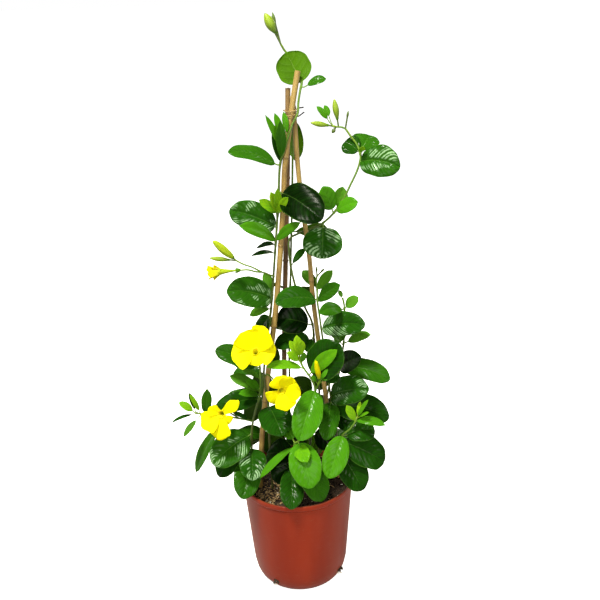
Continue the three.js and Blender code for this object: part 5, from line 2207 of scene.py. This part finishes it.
            (DARK, -46, 305, -62, 262, 86, 38, 150), (MID, -42, 340, -84, 345, 50, 32, 60),
            (DARK, -42, 345, -50, 305, 72, 34, 160), (MID, -36, 385, -62, 398, 48, 26, 60),
            (DARK, -35, 388, -30, 350, 64, 28, 160),
        )),
    )),
    Shoot("stem_back_right", (30, 46), (
        Branch(1.6, (
            (31, 210, 50), (38, 250, 48), (48, 300, 42), (55, 340, 34), (58, 380, 28),
        ), leaves(
            (MID, 32, 222, 92, 224, 66, 40, 60), (DARK, 36, 242, 18, 202, 40, 34, 170),
            (MID, 38, 250, 100, 262, 58, 40, 60), (DARK, 38, 252, 30, 268, 92, 38, 110),
            (MID, 47, 295, 92, 320, 50, 34, 60), (DARK, 47, 298, 44, 264, 90, 36, 160),
            (LIGHT, 54, 335, 84, 362, 38, 26, 60), (DARK, 55, 342, 38, 310, 74, 30, 150),
            (LIGHT, 58, 376, 80, 412, 26, 24, 50), (DARK, 58, 372, 48, 350, 62, 26, 160),
        )),
    )),
    Shoot("stem_back_climber", (-8, 56), (
        Branch(1.6, (
            (-9, 230, 58), (-5.5, 325, 46), (-4, 378, 41), (3, 500, 29), (9, 600, 21),
            (12, 660, 18), (14, 702, 17),
        ), leaves(
            (MID, 14, 700, 15, 645, 28, 22, 165), (MID, 9, 600, 36, 588, 52, 30, 100),
            (MID, 8, 590, -45, 578, 46, 28, 100), (MID, 6, 548, 55, 540, 44, 34, 120),
            (MID, 2, 474, -60, 470, 50, 34, 100), (DARK, 1, 462, 32, 458, 56, 24, 120),
            (DARK, -1, 425, 12, 405, 72, 34, 150), (MID, -2, 410, -36, 418, 62, 26, 120),
            (DARK, -5, 335, 20, 300, 90, 36, 160), (DARK, -6, 322, -30, 290, 92, 36, 150),
            (DARK, -7, 278, 6, 226, 42, 32, 170),
        )),
    )),
)

BLOOMS = (
    Bloom("flower_left", (-52, 376, -42), (-48, 364, -24), (
        (-34, 411, -46, 34), (-66, 409, -46, 36), (-86, 371, -50, 40), (-51, 354, -54, 24),
        (-24, 373, -48, 34),
    )),
    Bloom("flower_centre", (-18, 311.5, -60), (-26, 324, -38), (
        (-21, 335, -62, 26), (-1, 332, -64, 26), (10, 304, -66, 26), (-11, 278, -70, 26),
        (-36, 294, -62, 28),
    )),
    Bloom("flower_far_left", (-108, 277, -56), (-101, 281, -38), (
        (-81, 296, -60, 15), (-126, 287, -58, 17), (-139, 258, -64, 28), (-116, 234, -66, 30),
        (-98, 260, -60, 20),
    )),
    Bloom("flower_half_open", (-95, 498, -50), (-66, 499, -43), (
        (-110, 507, -52, 13), (-112, 498, -62, 13), (-111, 487, -57, 13), (-104, 489, -46, 13),
        (-104, 504, -45, 13),
    ), ripeness=0.55),
)

PLUMP_BUDS = (
    PlumpBud("bud_upper", (-73.5, 516.5, -39.5), (-100, 542.5, -50), thickness=10, ripeness=0.12),
    PlumpBud("bud_lower", (37.5, 327.5, -50), (33, 359, -64), thickness=7, ripeness=0.5),
)

CANES = (
    Cane("cane_left", 4, (
        (-57, 150, -8), (-51.5, 223, -8), (-37, 332, -7), (-18, 455, -6), (-2.5, 595, -6),
        (1.5, 641, -6), (11.7, 704, -6), (22, 757, -6),
    )),
    Cane("cane_back", 3.7, (
        (-22, 190, 52), (-13, 325, 39), (-11, 378, 34), (-4, 500, 22), (4.5, 640, 12), (9, 737, 9),
    ), finish="red bamboo", offset=62),
    Cane("cane_right", 3.5, (
        (61, 159, 10), (49, 270, 9), (37.7, 390, 8), (32, 455, 8), (28.7, 515, 7), (20.5, 600, 5),
        (17.3, 650, 3.5), (16, 690, 2.5), (14, 727, 2),
    ), offset=88),
)


def write_size() -> None:
    """Updates the view layer."""
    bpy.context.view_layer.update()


def main() -> None:
    """Builds the whole scene, piece by piece."""
    logging.basicConfig(level=logging.INFO, format="%(name)s: %(message)s")
    Studio().build()
    set_up_workshop()
    pot = Pot()
    for piece in (pot, Soil(pot), *CANES, Tie(CANES), *SHOOTS, *BLOOMS, *PLUMP_BUDS):
        piece.build()
    write_size()


if __name__ == "__main__":
    main()
